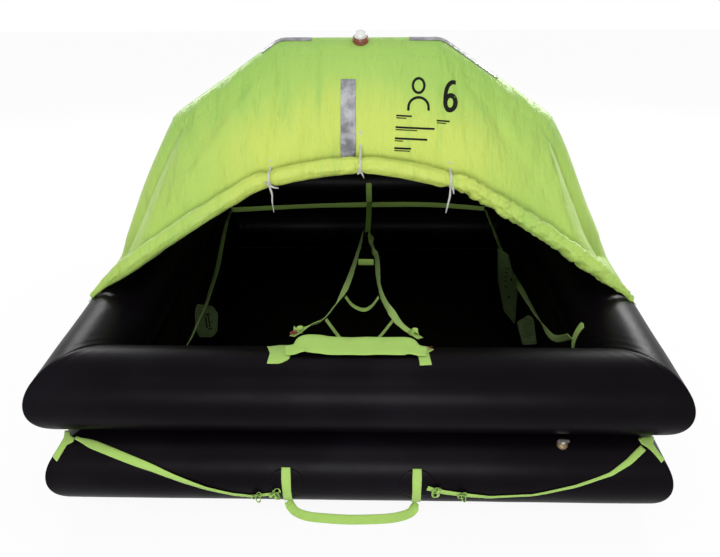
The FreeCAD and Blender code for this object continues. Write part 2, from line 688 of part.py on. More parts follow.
# ---------------------------------------------------------------- grab lines on the lower tube
lower_front_y = -lower_half_length
strap_lift = patch + web_thickness / 2 + 0.8
keep("grab_line_left", surface_strap(
    [(-846, 28), (-753, 43), (-606, 67), (-449, 97), (-369, 110), (-319, 114), (-238, 106)],
    strap_lift, lower_front_y, lower_z, web_width, web_thickness))
keep("grab_line_right", surface_strap(
    [(212, 92), (262, 99), (330, 105), (400, 109), (525, 103), (647, 86), (747, 68), (800, 52), (846, 34)],
    strap_lift, lower_front_y, lower_z, web_width, web_thickness))
keep("grab_tabs", Part.makeCompound(
    [end_tube_patch(side * 871 - 15, side * 871 + 15, lower_front_y, lower_z, 12, 60) for side in (-1, 1)]))

# ---------------------------------------------------------------- boarding step
STEP_ENDS = (-207, 181)
keep("step_tabs", Part.makeCompound(
    [end_tube_patch(x - 15, x + 15, lower_front_y, lower_z, 64, 130, lift=patch) for x in STEP_ENDS]))


def doubler(x):
    """A round patch under a step tab."""
    patch_shell = end_tube_patch(x - 60, x + 60, lower_front_y, lower_z, 50, 125)
    punch = Part.makeCylinder(52, 300, Vector(x, lower_front_y - 300, lower_z + 5), Vector(0, 1, 0))
    return patch_shell.common(punch)


keep("step_doublers", Part.makeCompound([doubler(x) for x in STEP_ENDS]))
STEP_ROUTE = [(-1.644, 0.838, 0.364), (-1.581, 0.877, 0.237), (-1.455, 0.957, 0.134), (-1.186, 1.067, 0.107),
              (-0.791, 1.130, 0.107), (-0.142, 1.170, 0.107), (0.632, 1.130, 0.107), (1.028, 1.051, 0.107),
              (1.296, 0.941, 0.134), (1.399, 0.870, 0.237), (1.439, 0.838, 0.364)]
keep("step_strap", strap_between(
    [(x * tube_radius, lower_front_y - y * tube_radius, z * tube_radius) for x, y, z in STEP_ROUTE],
    UP, web_width, web_thickness))

# ---------------------------------------------------------------- topping-up valves
valve_radius = size("valve_radius")
running_gap = size("running_gap")
plug_radius = 6.0


def valve_body(base, axis):
    """Flanged valve body with a bore for its plug."""
    body = turned([(valve_radius, -2), (valve_radius, 5), (valve_radius - 5, 5), (valve_radius - 5, 14)],
                  base, axis)
    bore = Part.makeCylinder(plug_radius + running_gap, 30, Vector(*base) + Vector(*axis) * 4, Vector(*axis))
    return body.cut(bore)


def valve_plug(base, axis, across):
    """Quarter-turn plug with a T handle."""
    start = Vector(*base) + Vector(*axis) * 4.5
    stem = Part.makeCylinder(plug_radius, 15, start, Vector(*axis))
    side = Vector(*across)
    deep = Vector(*axis).cross(side)
    top = start + Vector(*axis) * 14
    half_bar, half_deep, cut = 18, 4, 2.5
    outline = [(-half_bar, half_deep - cut), (-half_bar, cut - half_deep), (cut - half_bar, -half_deep),
               (half_bar - cut, -half_deep), (half_bar, cut - half_deep), (half_bar, half_deep - cut),
               (half_bar - cut, half_deep), (cut - half_bar, half_deep)]
    points = [top + side * a + deep * b for a, b in outline]
    bar = Part.Face(Part.makePolygon(points + [points[0]])).extrude(Vector(*axis) * 7)
    return stem.fuse(bar).removeSplitter()


front_valve_degrees = 30
front_valve_turn = math.radians(front_valve_degrees)
front_valve_axis = (0, -math.sin(front_valve_turn), math.cos(front_valve_turn))
front_valve_base = on_front_tube(610, front_valve_degrees, 0, lower_front_y, lower_z)
keep("lower_valve_body", valve_body(front_valve_base, front_valve_axis).cut(lower_ring.Shape))
keep("lower_valve_plug", valve_plug(front_valve_base, front_valve_axis, (1, 0, 0)))
rear_valve_base = (-610, ring_half_length + tube_radius, upper_z)
keep("upper_valve_body", valve_body(rear_valve_base, (0, 1, 0)).cut(upper_ring.Shape))
keep("upper_valve_plug", valve_plug(rear_valve_base, (0, 1, 0), (1, 0, 0)))


def relief_valve(tube_y, height, ring):
    """Over-pressure relief valve: a low cap over its flange."""
    base = (-480, tube_y + tube_radius, height)
    return turned([(22, -2), (22, 3), (16, 3), (16, 13)], base, (0, 1, 0)).cut(ring.Shape)


keep("relief_valves", Part.makeCompound([relief_valve(ring_half_length, upper_z, upper_ring),
                                         relief_valve(lower_half_length, lower_z, lower_ring)]))

# ---------------------------------------------------------------- gas cylinder
cylinder_radius = size("cylinder_radius")
cylinder_length = size("cylinder_length")
strap_over = cylinder_radius + web_thickness
# nested between the two rear tubes, its straps touching both
nest_reach = math.sqrt((tube_radius + strap_over) ** 2 - tube_radius ** 2)
nest_turn = math.asin(size("lower_end_step") / (2 * tube_radius))
cylinder_y = (ring_half_length + lower_half_length) / 2 + nest_reach * math.cos(nest_turn)
cylinder_z = (lower_z + upper_z) / 2 + nest_reach * math.sin(nest_turn)
half = cylinder_length / 2
cylinder_base = (-half, cylinder_y, cylinder_z)
keep("gas_cylinder", turned(
    [(0.55 * cylinder_radius, 0), (0.86 * cylinder_radius, 13), (cylinder_radius, 36),
     (cylinder_radius, cylinder_length - 62), (0.84 * cylinder_radius, cylinder_length - 32),
     (14, cylinder_length - 10), (14, cylinder_length)],
    cylinder_base, (1, 0, 0)))


def cylinder_straps():
    """Two webbing bands round the cylinder, bonded where they meet the tubes."""
    width = size("cylinder_strap_width")
    bands = []
    for x in (-0.6 * half, 0.35 * half):
        outer = Part.makeCylinder(strap_over, width, Vector(x - width / 2, cylinder_y, cylinder_z),
                                  Vector(1, 0, 0))
        inner = Part.makeCylinder(cylinder_radius, width, Vector(x - width / 2, cylinder_y, cylinder_z),
                                  Vector(1, 0, 0))
        bands.append(outer.cut(inner))
    return Part.makeCompound(bands)


keep("cylinder_straps", cylinder_straps())

head_length = 74
head_radius = 20
head_start = (half, cylinder_y, cylinder_z)
pin_radius = 3.0
pin_x = half + 24
hose_x = half + 56
hose_radius = 6
hose_reach = cylinder_y + 14


def operating_head():
    """Firing head screwed on the cylinder's neck, with a cross hole for the pull pin."""
    body = turned([(17, 0), (17, 12), (head_radius, 12), (head_radius, head_length)], head_start, (1, 0, 0))
    hole = Part.makeCylinder(pin_radius + running_gap, 30, Vector(pin_x, cylinder_y + 4, cylinder_z),
                             Vector(0, 1, 0))
    port = Part.makeCylinder(9, 2 * head_radius + 16, Vector(hose_x, hose_reach, cylinder_z - head_radius - 8),
                             Vector(0, 0, 1))
    return body.fuse(port).cut(hole).removeSplitter()


keep("operating_head", operating_head())


def pull_pin():
    """Pin with a pull ring; it slides straight out of the head."""
    start = cylinder_y + 5
    outside = cylinder_y + head_radius + 6
    pin = Part.makeCylinder(pin_radius, outside - start + 4, Vector(pin_x, start, cylinder_z), Vector(0, 1, 0))
    middle = Vector(pin_x - 1.6, outside + 13, cylinder_z)
    ring = Part.makeCylinder(14.6, 3.2, middle, Vector(1, 0, 0)).cut(
        Part.makeCylinder(11.4, 3.2, middle, Vector(1, 0, 0)))
    return pin.fuse(ring).removeSplitter()


keep("pull_pin", pull_pin())


def inlet_valve(tube_y, height, side):
    """Inlet elbow on a tube; its hose end faces the operating head."""
    surface = tube_y + tube_radius
    flange = Part.makeCylinder(20, surface - tube_y + 4, Vector(hose_x, tube_y, height), Vector(0, 1, 0))
    barrel = Part.makeCylinder(10, hose_reach + 9 - tube_y, Vector(hose_x, tube_y, height), Vector(0, 1, 0))
    nose = Part.makeCylinder(8.5, 26, Vector(hose_x, hose_reach, height), Vector(0, 0, -side))
    return flange.fuse(barrel).fuse(nose).removeSplitter()


keep("inlet_valves", Part.makeCompound([
    inlet_valve(ring_half_length, upper_z, 1).cut(upper_ring.Shape),
    inlet_valve(lower_half_length, lower_z, -1).cut(lower_ring.Shape)]))


def hose(start_z, end_z):
    return Part.makeCylinder(hose_radius, abs(end_z - start_z),
                             Vector(hose_x, hose_reach, min(start_z, end_z)), Vector(0, 0, 1))


keep("gas_hoses", Part.makeCompound([hose(cylinder_z + head_radius + 8, upper_z - 26),
                                     hose(lower_z + 26, cylinder_z - head_radius - 8)]))


# ---------------------------------------------------------------- checks and export
doc.recompute()
for obj in doc.Objects:
    if "Invalid" in obj.State or "Error" in obj.State:
        raise RuntimeError("failed object: " + obj.Name)
for part in subparts:
    if part.Shape.isNull() or not part.Shape.isValid() or not part.Shape.Solids:
        raise RuntimeError("bad shape: " + part.Label)

os.makedirs("parts", exist_ok=True)
for part in subparts:
    part.Shape.exportStep(os.path.join("parts", part.Label + ".step"))
    print("%-26s solids %d  volume %.0f mm3" % (part.Label, len(part.Shape.Solids), part.Shape.Volume))
print(len(subparts), "sub-parts")
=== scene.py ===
import bmesh
import bpy
import json
import math
from mathutils import Matrix, Vector, noise
from mathutils.bvhtree import BVHTree


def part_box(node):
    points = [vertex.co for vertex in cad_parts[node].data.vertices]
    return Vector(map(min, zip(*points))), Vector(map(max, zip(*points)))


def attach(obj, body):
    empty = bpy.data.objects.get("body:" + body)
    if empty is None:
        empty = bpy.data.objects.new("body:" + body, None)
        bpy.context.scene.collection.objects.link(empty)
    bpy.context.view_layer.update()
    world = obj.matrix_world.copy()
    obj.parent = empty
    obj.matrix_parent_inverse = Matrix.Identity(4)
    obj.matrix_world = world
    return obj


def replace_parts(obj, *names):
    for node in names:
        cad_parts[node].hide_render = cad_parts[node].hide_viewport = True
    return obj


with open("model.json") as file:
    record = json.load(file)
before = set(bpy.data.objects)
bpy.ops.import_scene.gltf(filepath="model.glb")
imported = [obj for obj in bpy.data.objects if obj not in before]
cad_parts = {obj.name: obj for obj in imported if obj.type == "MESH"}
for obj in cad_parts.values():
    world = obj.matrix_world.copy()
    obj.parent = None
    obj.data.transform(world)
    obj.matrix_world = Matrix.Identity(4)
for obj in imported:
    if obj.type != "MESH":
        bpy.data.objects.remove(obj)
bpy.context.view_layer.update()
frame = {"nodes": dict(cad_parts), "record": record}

# Six-person inflatable liferaft. Points are in millimetres until a mesh is made.

nodes = frame["nodes"]
print("stage: frame loaded")

raft = {"tubeRadius": 126.5, "halfWidth": 828.5, "halfLength": 973.0, "lowerHalfWidth": 806.5,
        "lowerHalfLength": 979.0, "lowerZ": 126.5, "upperZ": 379.63, "archY": -200.0, "frontSlope": 0.408}
tubeTop = raft["upperZ"] + raft["tubeRadius"]


# ---- materials

class Wire:
    # an output socket of a material's tree; sums on it become Math nodes
    def __init__(self, paint, socket):
        self.paint, self.socket = paint, socket

    def maths(self, operation, *values):
        return self.paint.node("ShaderNodeMath", {"operation": operation}, dict(enumerate(values)))

    def __add__(self, other):
        return self.maths("ADD", self, other)

    def __sub__(self, other):
        return self.maths("SUBTRACT", self, other)

    def __rsub__(self, other):
        return self.maths("SUBTRACT", other, self)

    def __mul__(self, other):
        return self.maths("MULTIPLY", self, other)

    def sine(self):
        return self.maths("SINE", self)

    def size(self):
        return self.maths("ABSOLUTE", self)

    def soft(self, low, high):
        # 0 below low, 1 above high
        return self.paint.node("ShaderNodeMapRange", {"interpolation_type": "SMOOTHSTEP"},
                               {"Value": self, "From Min": low, "From Max": high})


class Paint:
    def __init__(self, name, **constants):
        self.material = bpy.data.materials.new(name)
        self.material.use_nodes = True
        self.tree = self.material.node_tree
        self.shader = self.tree.nodes["Principled BSDF"]
        for socket, value in constants.items():
            self.shader.inputs[socket.replace("_", " ")].default_value = value

    def node(self, kind, settings=None, values=None, out=0):
        made = self.tree.nodes.new(kind)
        for name, value in (settings or {}).items():
            setattr(made, name, value)
        for name, value in (values or {}).items():
            self.feed(made.inputs[name], value)
        return Wire(self, made.outputs[out])

    def feed(self, socket, value):
        if isinstance(value, Wire):
            self.tree.links.new(value.socket, socket)
        elif isinstance(value, tuple) and len(value) == 3 and socket.type == "RGBA":
            socket.default_value = (*value, 1)
        else:
            socket.default_value = value

    def place(self):
        return self.node("ShaderNodeTexCoord", out=3)

    def split(self, vector):
        parts = self.node("ShaderNodeSeparateXYZ", None, {0: vector}).socket.node.outputs
        return [Wire(self, part) for part in parts]

    def alongAcross(self):
        # metres along and across, from the piece's own map
        return self.split(self.node("ShaderNodeUVMap", {"uv_map": "run"}))[:2]

    def noise(self, scale, detail=3.0, rough=0.5, stretch=None):
        values = {"Scale": scale, "Detail": detail, "Roughness": rough}
        values["Vector"] = self.stretched(stretch) if stretch else self.place()
        return self.node("ShaderNodeTexNoise", None, values)

    def stretched(self, scale):
        return self.node("ShaderNodeMapping", None, {"Vector": self.place(), "Scale": scale})

    def mix(self, share, first, second):
        return self.node("ShaderNodeMix", {"data_type": "RGBA"}, {0: share, 6: first, 7: second}, 2)

    def bump(self, height, distance, strength=1.0, under=None):
        values = {"Height": height, "Distance": distance, "Strength": strength}
        if under:
            values["Normal"] = under
        return self.node("ShaderNodeBump", None, values)

    def finish(self, **links):
        for socket, value in links.items():
            self.feed(self.shader.inputs[socket.replace("_", " ")], value)
        return self.material


def tubeCloth():
    look = {"deep": (0.0028, 0.0017, 0.0032), "worn": (0.0055, 0.0042, 0.0065), "roughLow": 0.31, "roughHigh": 0.45,
            "seamAt": 0.30, "threads": 3900}
    paint = Paint("tubeCloth", Specular_IOR_Level=0.04, Coat_Roughness=0.28)
    cloudy = paint.noise(3.2, 4.0)
    fine = paint.noise(38.0, 5.0, 0.6)
    along, around = paint.alongAcross()
    seam = (around - look["seamAt"]).size()
    lap = 1 - seam.soft(0.016, 0.018)
    weave = (along * look["threads"]).sine() * (around * look["threads"]).sine()
    dust = cloudy.soft(0.45, 0.8) * 0.6 + fine.soft(0.5, 0.9) * 0.3
    under = paint.bump(weave, 0.00006, 0.25)
    under = paint.bump(lap, 0.0005, 0.7, under)
    creases = paint.noise(9.0, 3.0, 0.55)
    return paint.finish(
        Base_Color=paint.mix(dust, look["deep"], look["worn"]),
        Roughness=fine * (look["roughHigh"] - look["roughLow"]) + look["roughLow"] + lap * 0.05,
        Coat_Weight=cloudy.soft(0.3, 0.7) * 0.03,
        Normal=paint.bump(creases, 0.004, 0.22, under))


def canopyCloth():
    # the second colour is painted light, the third is painted shade and also the tone of the darker specks
    look = {"paintedLight": (0.56, 0.655, 0.115), "plain": (0.375, 0.57, 0.112), "paintedShadeAndSpeck": (0.275, 0.50, 0.095)}
    paint = Paint("canopyCloth", Specular_IOR_Level=0.3, Sheen_Weight=0.06)
    aside, depth, height = paint.split(paint.place())
    cloudy = paint.noise(2.4, 3.0)
    fine = paint.noise(60.0, 4.0, 0.6)
    streaks = paint.noise(1.5, 5.0, 0.6, (14.0, 3.0, 2.6))
    # height over the door's edge, which falls away to both sides
    above = height - 0.90 + aside * aside * 0.48 + (cloudy - 0.5) * 0.16 + (streaks - 0.5) * 0.10
    # painted light: a brighter, yellower band just over the door's edge on the front, weaker towards the sides
    wide = aside.size().soft(0.30, 0.60) * 0.85
    paintedLight = above.soft(-0.10, -0.03) * (1 - above.soft(0.10, 0.30)) * (1 - depth.soft(-0.30, -0.15)) * (1 - wide)
    # painted shade: darker with height over the door's edge; a little darker below that edge and along the streaks
    low = 1 - above.soft(-0.02, 0.05)
    paintedShadeAndTone = above.soft(0.16, 0.42) * 0.75 + low * 0.06 + streaks.soft(0.52, 0.78) * 0.5
    colour = paint.mix(paintedLight * 0.85, look["plain"], look["paintedLight"])
    colour = paint.mix(paintedShadeAndTone, colour, look["paintedShadeAndSpeck"])
    colour = paint.mix(fine.soft(0.55, 0.85) * 0.12, colour, look["paintedShadeAndSpeck"])
    threads = paint.split(paint.stretched((2600.0, 2600.0, 2600.0)))
    weave = threads[0].sine() * threads[2].sine()
    creased = paint.noise(1.6, 4.0, 0.55, (5.0, 3.0, 1.6))
    small = paint.noise(2.0, 4.0, 0.6, (17.0, 9.0, 6.0))
    under = paint.bump(weave, 0.00005, 0.2)
    under = paint.bump(small, 0.016, 0.5, under)
    return paint.finish(Base_Color=colour, Roughness=fine * 0.16 + 0.44, Coat_Weight=cloudy * 0.08,
                        Normal=paint.bump(creased, 0.050, 0.7, under))


def webbingCloth(name, light, dark, pitch=0.0017):
    paint = Paint(name, Specular_IOR_Level=0.3, Sheen_Weight=0.15)
    along, across = paint.alongAcross()
    turn = 2 * math.pi / pitch
    rib = (along * turn + (across * turn * 0.5).sine() * 1.4).sine()
    cords = (across * turn * 0.9).sine()
    worn = paint.noise(55.0, 4.0, 0.65)
    # painted shade: the grooves of the rib take the dark colour and the ridges the light one; the worn specks below are
    # wear
    grooveShading = rib.soft(-1.0, -0.2) * (cords * 0.15 + 0.85)
    colour = paint.mix(grooveShading, dark, light)
    colour = paint.mix(worn.soft(0.5, 0.85) * 0.3, colour, dark)
    return paint.finish(Base_Color=colour, Roughness=worn * 0.2 + 0.6,
                        Normal=paint.bump(rib * 0.6 + cords * 0.4, 0.0004, 0.7))


def silverTape():
    paint = Paint("silverTape", Metallic=0.25, Specular_IOR_Level=0.5)
    cells = paint.node("ShaderNodeTexVoronoi", {"feature": "DISTANCE_TO_EDGE"},
                       {"Vector": paint.place(), "Scale": 260.0})
    crumple = paint.noise(16.0, 5.0, 0.6)
    sharp = paint.noise(34.0, 2.0, 0.5)
    # painted shade: the colour goes dark in the hollows of the crumples that the same noise makes in the bump below
    colour = paint.mix(crumple.soft(0.35, 0.7), (0.13, 0.13, 0.145), (0.40, 0.40, 0.42))
    under = paint.bump(cells.soft(0.0, 0.08), 0.0001, 0.4)
    return paint.finish(Base_Color=colour, Roughness=sharp * 0.25 + 0.26,
                        Normal=paint.bump(crumple, 0.012, 0.6, under))


def mouldedPlastic(name, colour, other, rough, grain=0.35, **constants):
    paint = Paint(name, **constants)
    speck = paint.noise(240.0, 3.0, 0.6)
    cloudy = paint.noise(28.0, 3.0)
    return paint.finish(Base_Color=paint.mix(cloudy.soft(0.35, 0.75), colour, other),
                        Roughness=speck * 0.15 + rough,
                        Normal=paint.bump(speck, 0.00025, grain))


def turnedMetal(name, colour, other, rough):
    paint = Paint(name, Metallic=1.0)
    streaks = paint.noise(1.0, 4.0, 0.6, (45.0, 700.0, 700.0))
    spots = paint.noise(95.0, 4.0, 0.6)
    return paint.finish(Base_Color=paint.mix(spots.soft(0.5, 0.8), colour, other),
                        Roughness=streaks * 0.2 + spots * 0.12 + rough,
                        Normal=paint.bump(streaks, 0.0002, 0.35))


def cardPrint():
    paint = Paint("cardPrint", Specular_IOR_Level=0.45)
    cloudy = paint.noise(40.0, 4.0, 0.6)
    scuffs = paint.noise(210.0, 3.0, 0.7)
    return paint.finish(Base_Color=paint.mix(cloudy.soft(0.3, 0.8), (0.085, 0.135, 0.045), (0.13, 0.19, 0.07)),
                        Roughness=scuffs * 0.3 + 0.35, Normal=paint.bump(scuffs, 0.0002, 0.3))


def inkPrint():
    paint = Paint("inkPrint", Specular_IOR_Level=0.12)
    thin = paint.noise(420.0, 4.0, 0.7)
    return paint.finish(Base_Color=paint.mix(thin.soft(0.58, 0.85) * 0.5, (0.005, 0.007, 0.005), (0.03, 0.04, 0.015)),
                        Roughness=thin * 0.2 + 0.45)


limeLight, limeDark = (0.43, 0.66, 0.15), (0.27, 0.46, 0.085)
paints = {
    "black_coated_fabric": tubeCloth(),
    "lime_canopy_cloth": canopyCloth(),
    "lime_webbing": webbingCloth("limeWebbing", limeLight, limeDark),
    "white_tape": webbingCloth("whiteTape", (0.74, 0.76, 0.70), (0.42, 0.45, 0.38), 0.0009),
    "retro_reflective": silverTape(),
    "light_base_plastic": mouldedPlastic("lightBase", (0.20, 0.050, 0.026), (0.14, 0.035, 0.02), 0.32),
    "light_lens": mouldedPlastic("lightLens", (0.66, 0.66, 0.65), (0.74, 0.74, 0.73), 0.12, 0.12,
                                 Coat_Weight=0.5),
    "olive_card": cardPrint(),
    "valve_plastic": mouldedPlastic("valvePlastic", (0.010, 0.010, 0.011), (0.018, 0.018, 0.019), 0.3),
    "valve_brass": turnedMetal("valveBrass", (0.34, 0.27, 0.17), (0.20, 0.15, 0.09), 0.3),
    "valve_metal": turnedMetal("valveMetal", (0.72, 0.72, 0.73), (0.50, 0.50, 0.51), 0.18),
    "cylinder_paint": mouldedPlastic("cylinderPaint", (0.085, 0.093, 0.10), (0.11, 0.12, 0.125), 0.34, 0.3,
                                     Coat_Weight=0.3),
    "hose_rubber": mouldedPlastic("hoseRubber", (0.010, 0.010, 0.010), (0.02, 0.02, 0.02), 0.5),
}
ink = inkPrint()
redThread = webbingCloth("redThread", (0.30, 0.055, 0.03), (0.14, 0.02, 0.012), 0.0008)
print("stage: finishes made")


# ---- mesh helpers

def piece(name, points, faces, slotName, runs=None, paint=None):
    # points in millimetres; runs are metres along and across for each face's corners
    mesh = bpy.data.meshes.new(name)
    mesh.from_pydata([Vector(p) * 0.001 for p in points], [], faces)
    if runs:
        layer = mesh.uv_layers.new(name="run")
        for place, run in zip(layer.data, runs):
            place.uv = run
    mesh.materials.append(paint or paints[slotName])
    mesh.shade_smooth()
    obj = bpy.data.objects.new(name, mesh)
    bpy.context.collection.objects.link(obj)
    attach(obj, "raft")
    return obj


def wallOut(obj, thickness, facing):
    # turns an open sheet's faces to the given side and gives it a wall there
    if sum(f.normal.dot(facing(f) if callable(facing) else facing) for f in obj.data.polygons) < 0:
        obj.data.flip_normals()
    wall = obj.modifiers.new("wall", "SOLIDIFY")
    wall.thickness, wall.offset = thickness * 0.001, 1


def cutOut(outline, cell):
    # an outline cut into triangles with edges near the given length: its corners and faces
    work = bmesh.new()
    work.faces.new([work.verts.new((a, b, 0)) for a, b in outline])
    bmesh.ops.triangulate(work, faces=work.faces)
    for _ in range(6):
        long = [e for e in work.edges if e.calc_length() > cell * 1.5]
        if not long:
            break
        bmesh.ops.subdivide_edges(work, edges=long, cuts=1)
        bmesh.ops.triangulate(work, faces=work.faces)
    work.verts.index_update()
    spots = [(v.co.x, v.co.y) for v in work.verts]
    faces = [tuple(v.index for v in f.verts) for f in work.faces]
    work.free()
    return spots, faces


def ringFaces(rings, count):
    # quads between rings of points that close on themselves, and the (ring, place) of each corner
    faces, corners = [], []
    for i in range(rings - 1):
        for j in range(count):
            k = (j + 1) % count
            faces.append((i * count + j, i * count + k, (i + 1) * count + k, (i + 1) * count + j))
            corners += [(i, j), (i, j + 1), (i + 1, j + 1), (i + 1, j)]
    faces += [tuple(range(count - 1, -1, -1)), tuple((rings - 1) * count + j for j in range(count))]
    return faces, corners


def turnOut(obj):
    work = bmesh.new()
    work.from_mesh(obj.data)
    bmesh.ops.remove_doubles(work, verts=work.verts, dist=0.00002)
    bmesh.ops.recalc_face_normals(work, faces=work.faces)
    if work.calc_volume(signed=True) < 0:
        bmesh.ops.reverse_faces(work, faces=work.faces)
    work.to_mesh(obj.data)
    work.free()
    return obj


def smoothLine(points, step):
    # a Catmull-Rom line through the points, about one point each step
    points = [Vector(p) for p in points]
    if len(points) == 2:
        count = max(1, round((points[1] - points[0]).length / step))
        return [points[0].lerp(points[1], i / count) for i in range(count + 1)]
    line = []
    for i in range(len(points) - 1):
        a = points[i - 1] if i else points[0] * 2 - points[1]
        b, c = points[i], points[i + 1]
        d = points[i + 2] if i + 2 < len(points) else c * 2 - b
        count = max(1, round((c - b).length / step))
        for k in range(count):
            t = k / count
            line.append(0.5 * (2 * b + (c - a) * t + (2 * a - 5 * b + 4 * c - d) * t ** 2
                               + (3 * b - a - 3 * c + d) * t ** 3))
    line.append(points[-1])
    return line


def bell(value, middle, width):
    return math.exp(-((value - middle) / width) ** 2)


def ease(value, low, high):
    share = min(1.0, max(0.0, (value - low) / (high - low)))
    return share * share * (3 - 2 * share)


def sweep(name, line, section, slotName, paint=None):
    # section(index, distance) gives the ring of points there, all with the same count
    rings, distance = [], 0.0
    for index, point in enumerate(line):
        if index:
            distance += (point - line[index - 1]).length
        rings.append((section(index, distance), distance))
    count = len(rings[0][0])
    points = [p for ring, _ in rings for p in ring]
    rim = [0.0]
    for a, b in zip(rings[0][0], rings[0][0][1:] + rings[0][0][:1]):
        rim.append(rim[-1] + (Vector(b) - Vector(a)).length)
    faces, corners = ringFaces(len(rings), count)
    runs = [(rings[row][1] * 0.001, rim[column] * 0.001) for row, column in corners] + [(0, 0)] * (2 * count)
    return piece(name, points, faces, slotName, runs, paint)


def frames(line, up, twists=()):
    # direction along, across and out of a strap at each point; twists are (share, degrees)
    result = []
    total = max(1, len(line) - 1)
    for index, point in enumerate(line):
        along = (line[min(index + 1, total)] - line[max(index - 1, 0)]).normalized()
        wanted = up(index / total) if callable(up) else up
        across = Vector(wanted)
        across = (across - along * across.dot(along)).normalized()
        turn = 0.0
        for (s0, d0), (s1, d1) in zip(twists, twists[1:]):
            share = index / total
            if s0 <= share <= s1:
                turn = d0 + (d1 - d0) * ease(share, s0, s1)
        across = Matrix.Rotation(math.radians(turn), 3, along) @ across
        result.append((along, across, along.cross(across)))
    return result


def strap(name, points, up, node=None, width=26.0, thickness=2.0, twists=(), cup=0.0, step=6.0,
          widths=None, slotName="lime_webbing", paint=None, ripple=0.5, seed=0.0):
    # flat webbing through points, its width close to up, with rounded selvages
    line = smoothLine(points, step)
    axes = frames(line, up, twists)
    total = max(1, len(line) - 1)
    half = thickness / 2
    outline = [(-1.0, 0), (-0.94, half), (-0.5, half), (0, half), (0.5, half), (0.94, half),
               (1.0, 0), (0.94, -half), (0.5, -half), (0, -half), (-0.5, -half), (-0.94, -half)]

    def section(index, distance):
        along, across, out = axes[index]
        share = widths(index / total) if widths else 1.0
        ring = []
        for side, deep in outline:
            wave = ripple * noise.noise(Vector((distance * 0.018, side * 1.3, seed)))
            bend = cup * (side * side - 0.4)
            ring.append(line[index] + across * (side * width * 0.5 * share) + out * (deep + wave + bend))
        return ring

    obj = sweep(name, line, section, slotName, paint)
    uvs = obj.data.uv_layers["run"].data
    acrossOf = [side * width * 0.0005 for side, _ in outline]
    for poly in obj.data.polygons:
        if len(poly.vertices) == 4:
            for corner, vertex in zip(poly.loop_indices, poly.vertices):
                uvs[corner].uv = (uvs[corner].uv[0], acrossOf[vertex % 12])
    turnOut(obj)
    if node:
        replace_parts(obj, node)
    return obj


def lathe(name, profile, base, axis, slotName, around=48, node=None):
    # a turned part: (radius, height) points along an axis
    axis = Vector(axis).normalized()
    side = axis.orthogonal().normalized()
    other = axis.cross(side)
    points = []
    for radius, height in profile:
        for k in range(around):
            turn = 2 * math.pi * k / around
            points.append(Vector(base) + axis * height + (side * math.cos(turn) + other * math.sin(turn)) * radius)
    faces, corners = ringFaces(len(profile), around)
    runs = [(profile[row][1] * 0.001, column / around * 0.1) for row, column in corners] + [(0, 0)] * (2 * around)
    obj = turnOut(piece(name, points, faces, slotName, runs))
    for poly in obj.data.polygons:
        poly.use_smooth = len(poly.vertices) == 4
    obj.data.set_sharp_from_angle(angle=math.radians(38))
    if node:
        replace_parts(obj, node)
    return obj


def quarter(middle, high, wide, tall, turns):
    # part of an ellipse, its turns in degrees
    return [(middle + wide * math.cos(t), high + tall * math.sin(t)) for t in [math.radians(a) for a in turns]]


def join(name, *objs, node=None):
    with bpy.context.temp_override(active_object=objs[0], selected_editable_objects=list(objs)):
        bpy.ops.object.join()
    objs[0].name = name
    if node:
        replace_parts(objs[0], node)
    return objs[0]


# ---- stitches

def stitchTree():
    # short thread stitches along a line of edges
    tree = bpy.data.node_groups.new("stitchRun", "GeometryNodeTree")
    face = tree.interface
    face.new_socket("Geometry", in_out="INPUT", socket_type="NodeSocketGeometry")
    for name, kind, value in (("Pitch", "NodeSocketFloat", 0.006), ("Length", "NodeSocketFloat", 0.004),
                              ("Thread", "NodeSocketFloat", 0.0006)):
        face.new_socket(name, in_out="INPUT", socket_type=kind).default_value = value
    face.new_socket("Material", in_out="INPUT", socket_type="NodeSocketMaterial")
    face.new_socket("Geometry", in_out="OUTPUT", socket_type="NodeSocketGeometry")
    new = tree.nodes.new
    start, end = new("NodeGroupInput"), new("NodeGroupOutput")
    curve, sample = new("GeometryNodeMeshToCurve"), new("GeometryNodeResampleCurve")
    tangent = new("GeometryNodeInputTangent")
    sample.mode = "LENGTH"
    grain = new("GeometryNodeMeshCylinder")
    grain.inputs["Vertices"].default_value = 6
    turn, spots = new("FunctionNodeAlignRotationToVector"), new("GeometryNodeInstanceOnPoints")
    real, colour = new("GeometryNodeRealizeInstances"), new("GeometryNodeSetMaterial")
    for source, output, target, entry in (
            (start, "Geometry", curve, 0), (curve, 0, sample, "Curve"), (start, "Pitch", sample, "Length"),
            (start, "Thread", grain, "Radius"), (start, "Length", grain, "Depth"), (tangent, 0, turn, "Vector"),
            (sample, 0, spots, "Points"), (grain, "Mesh", spots, "Instance"), (turn, 0, spots, "Rotation"),
            (spots, 0, real, 0), (real, 0, colour, "Geometry"), (start, "Material", colour, "Material"),
            (colour, 0, end, 0)):
        tree.links.new(source.outputs[output], target.inputs[entry])
    return tree


stitchRun = stitchTree()
stitchLines = {"lime": [], "red": [], "black": []}


def stitchWith(thread, lines):
    stitchLines[thread] += lines


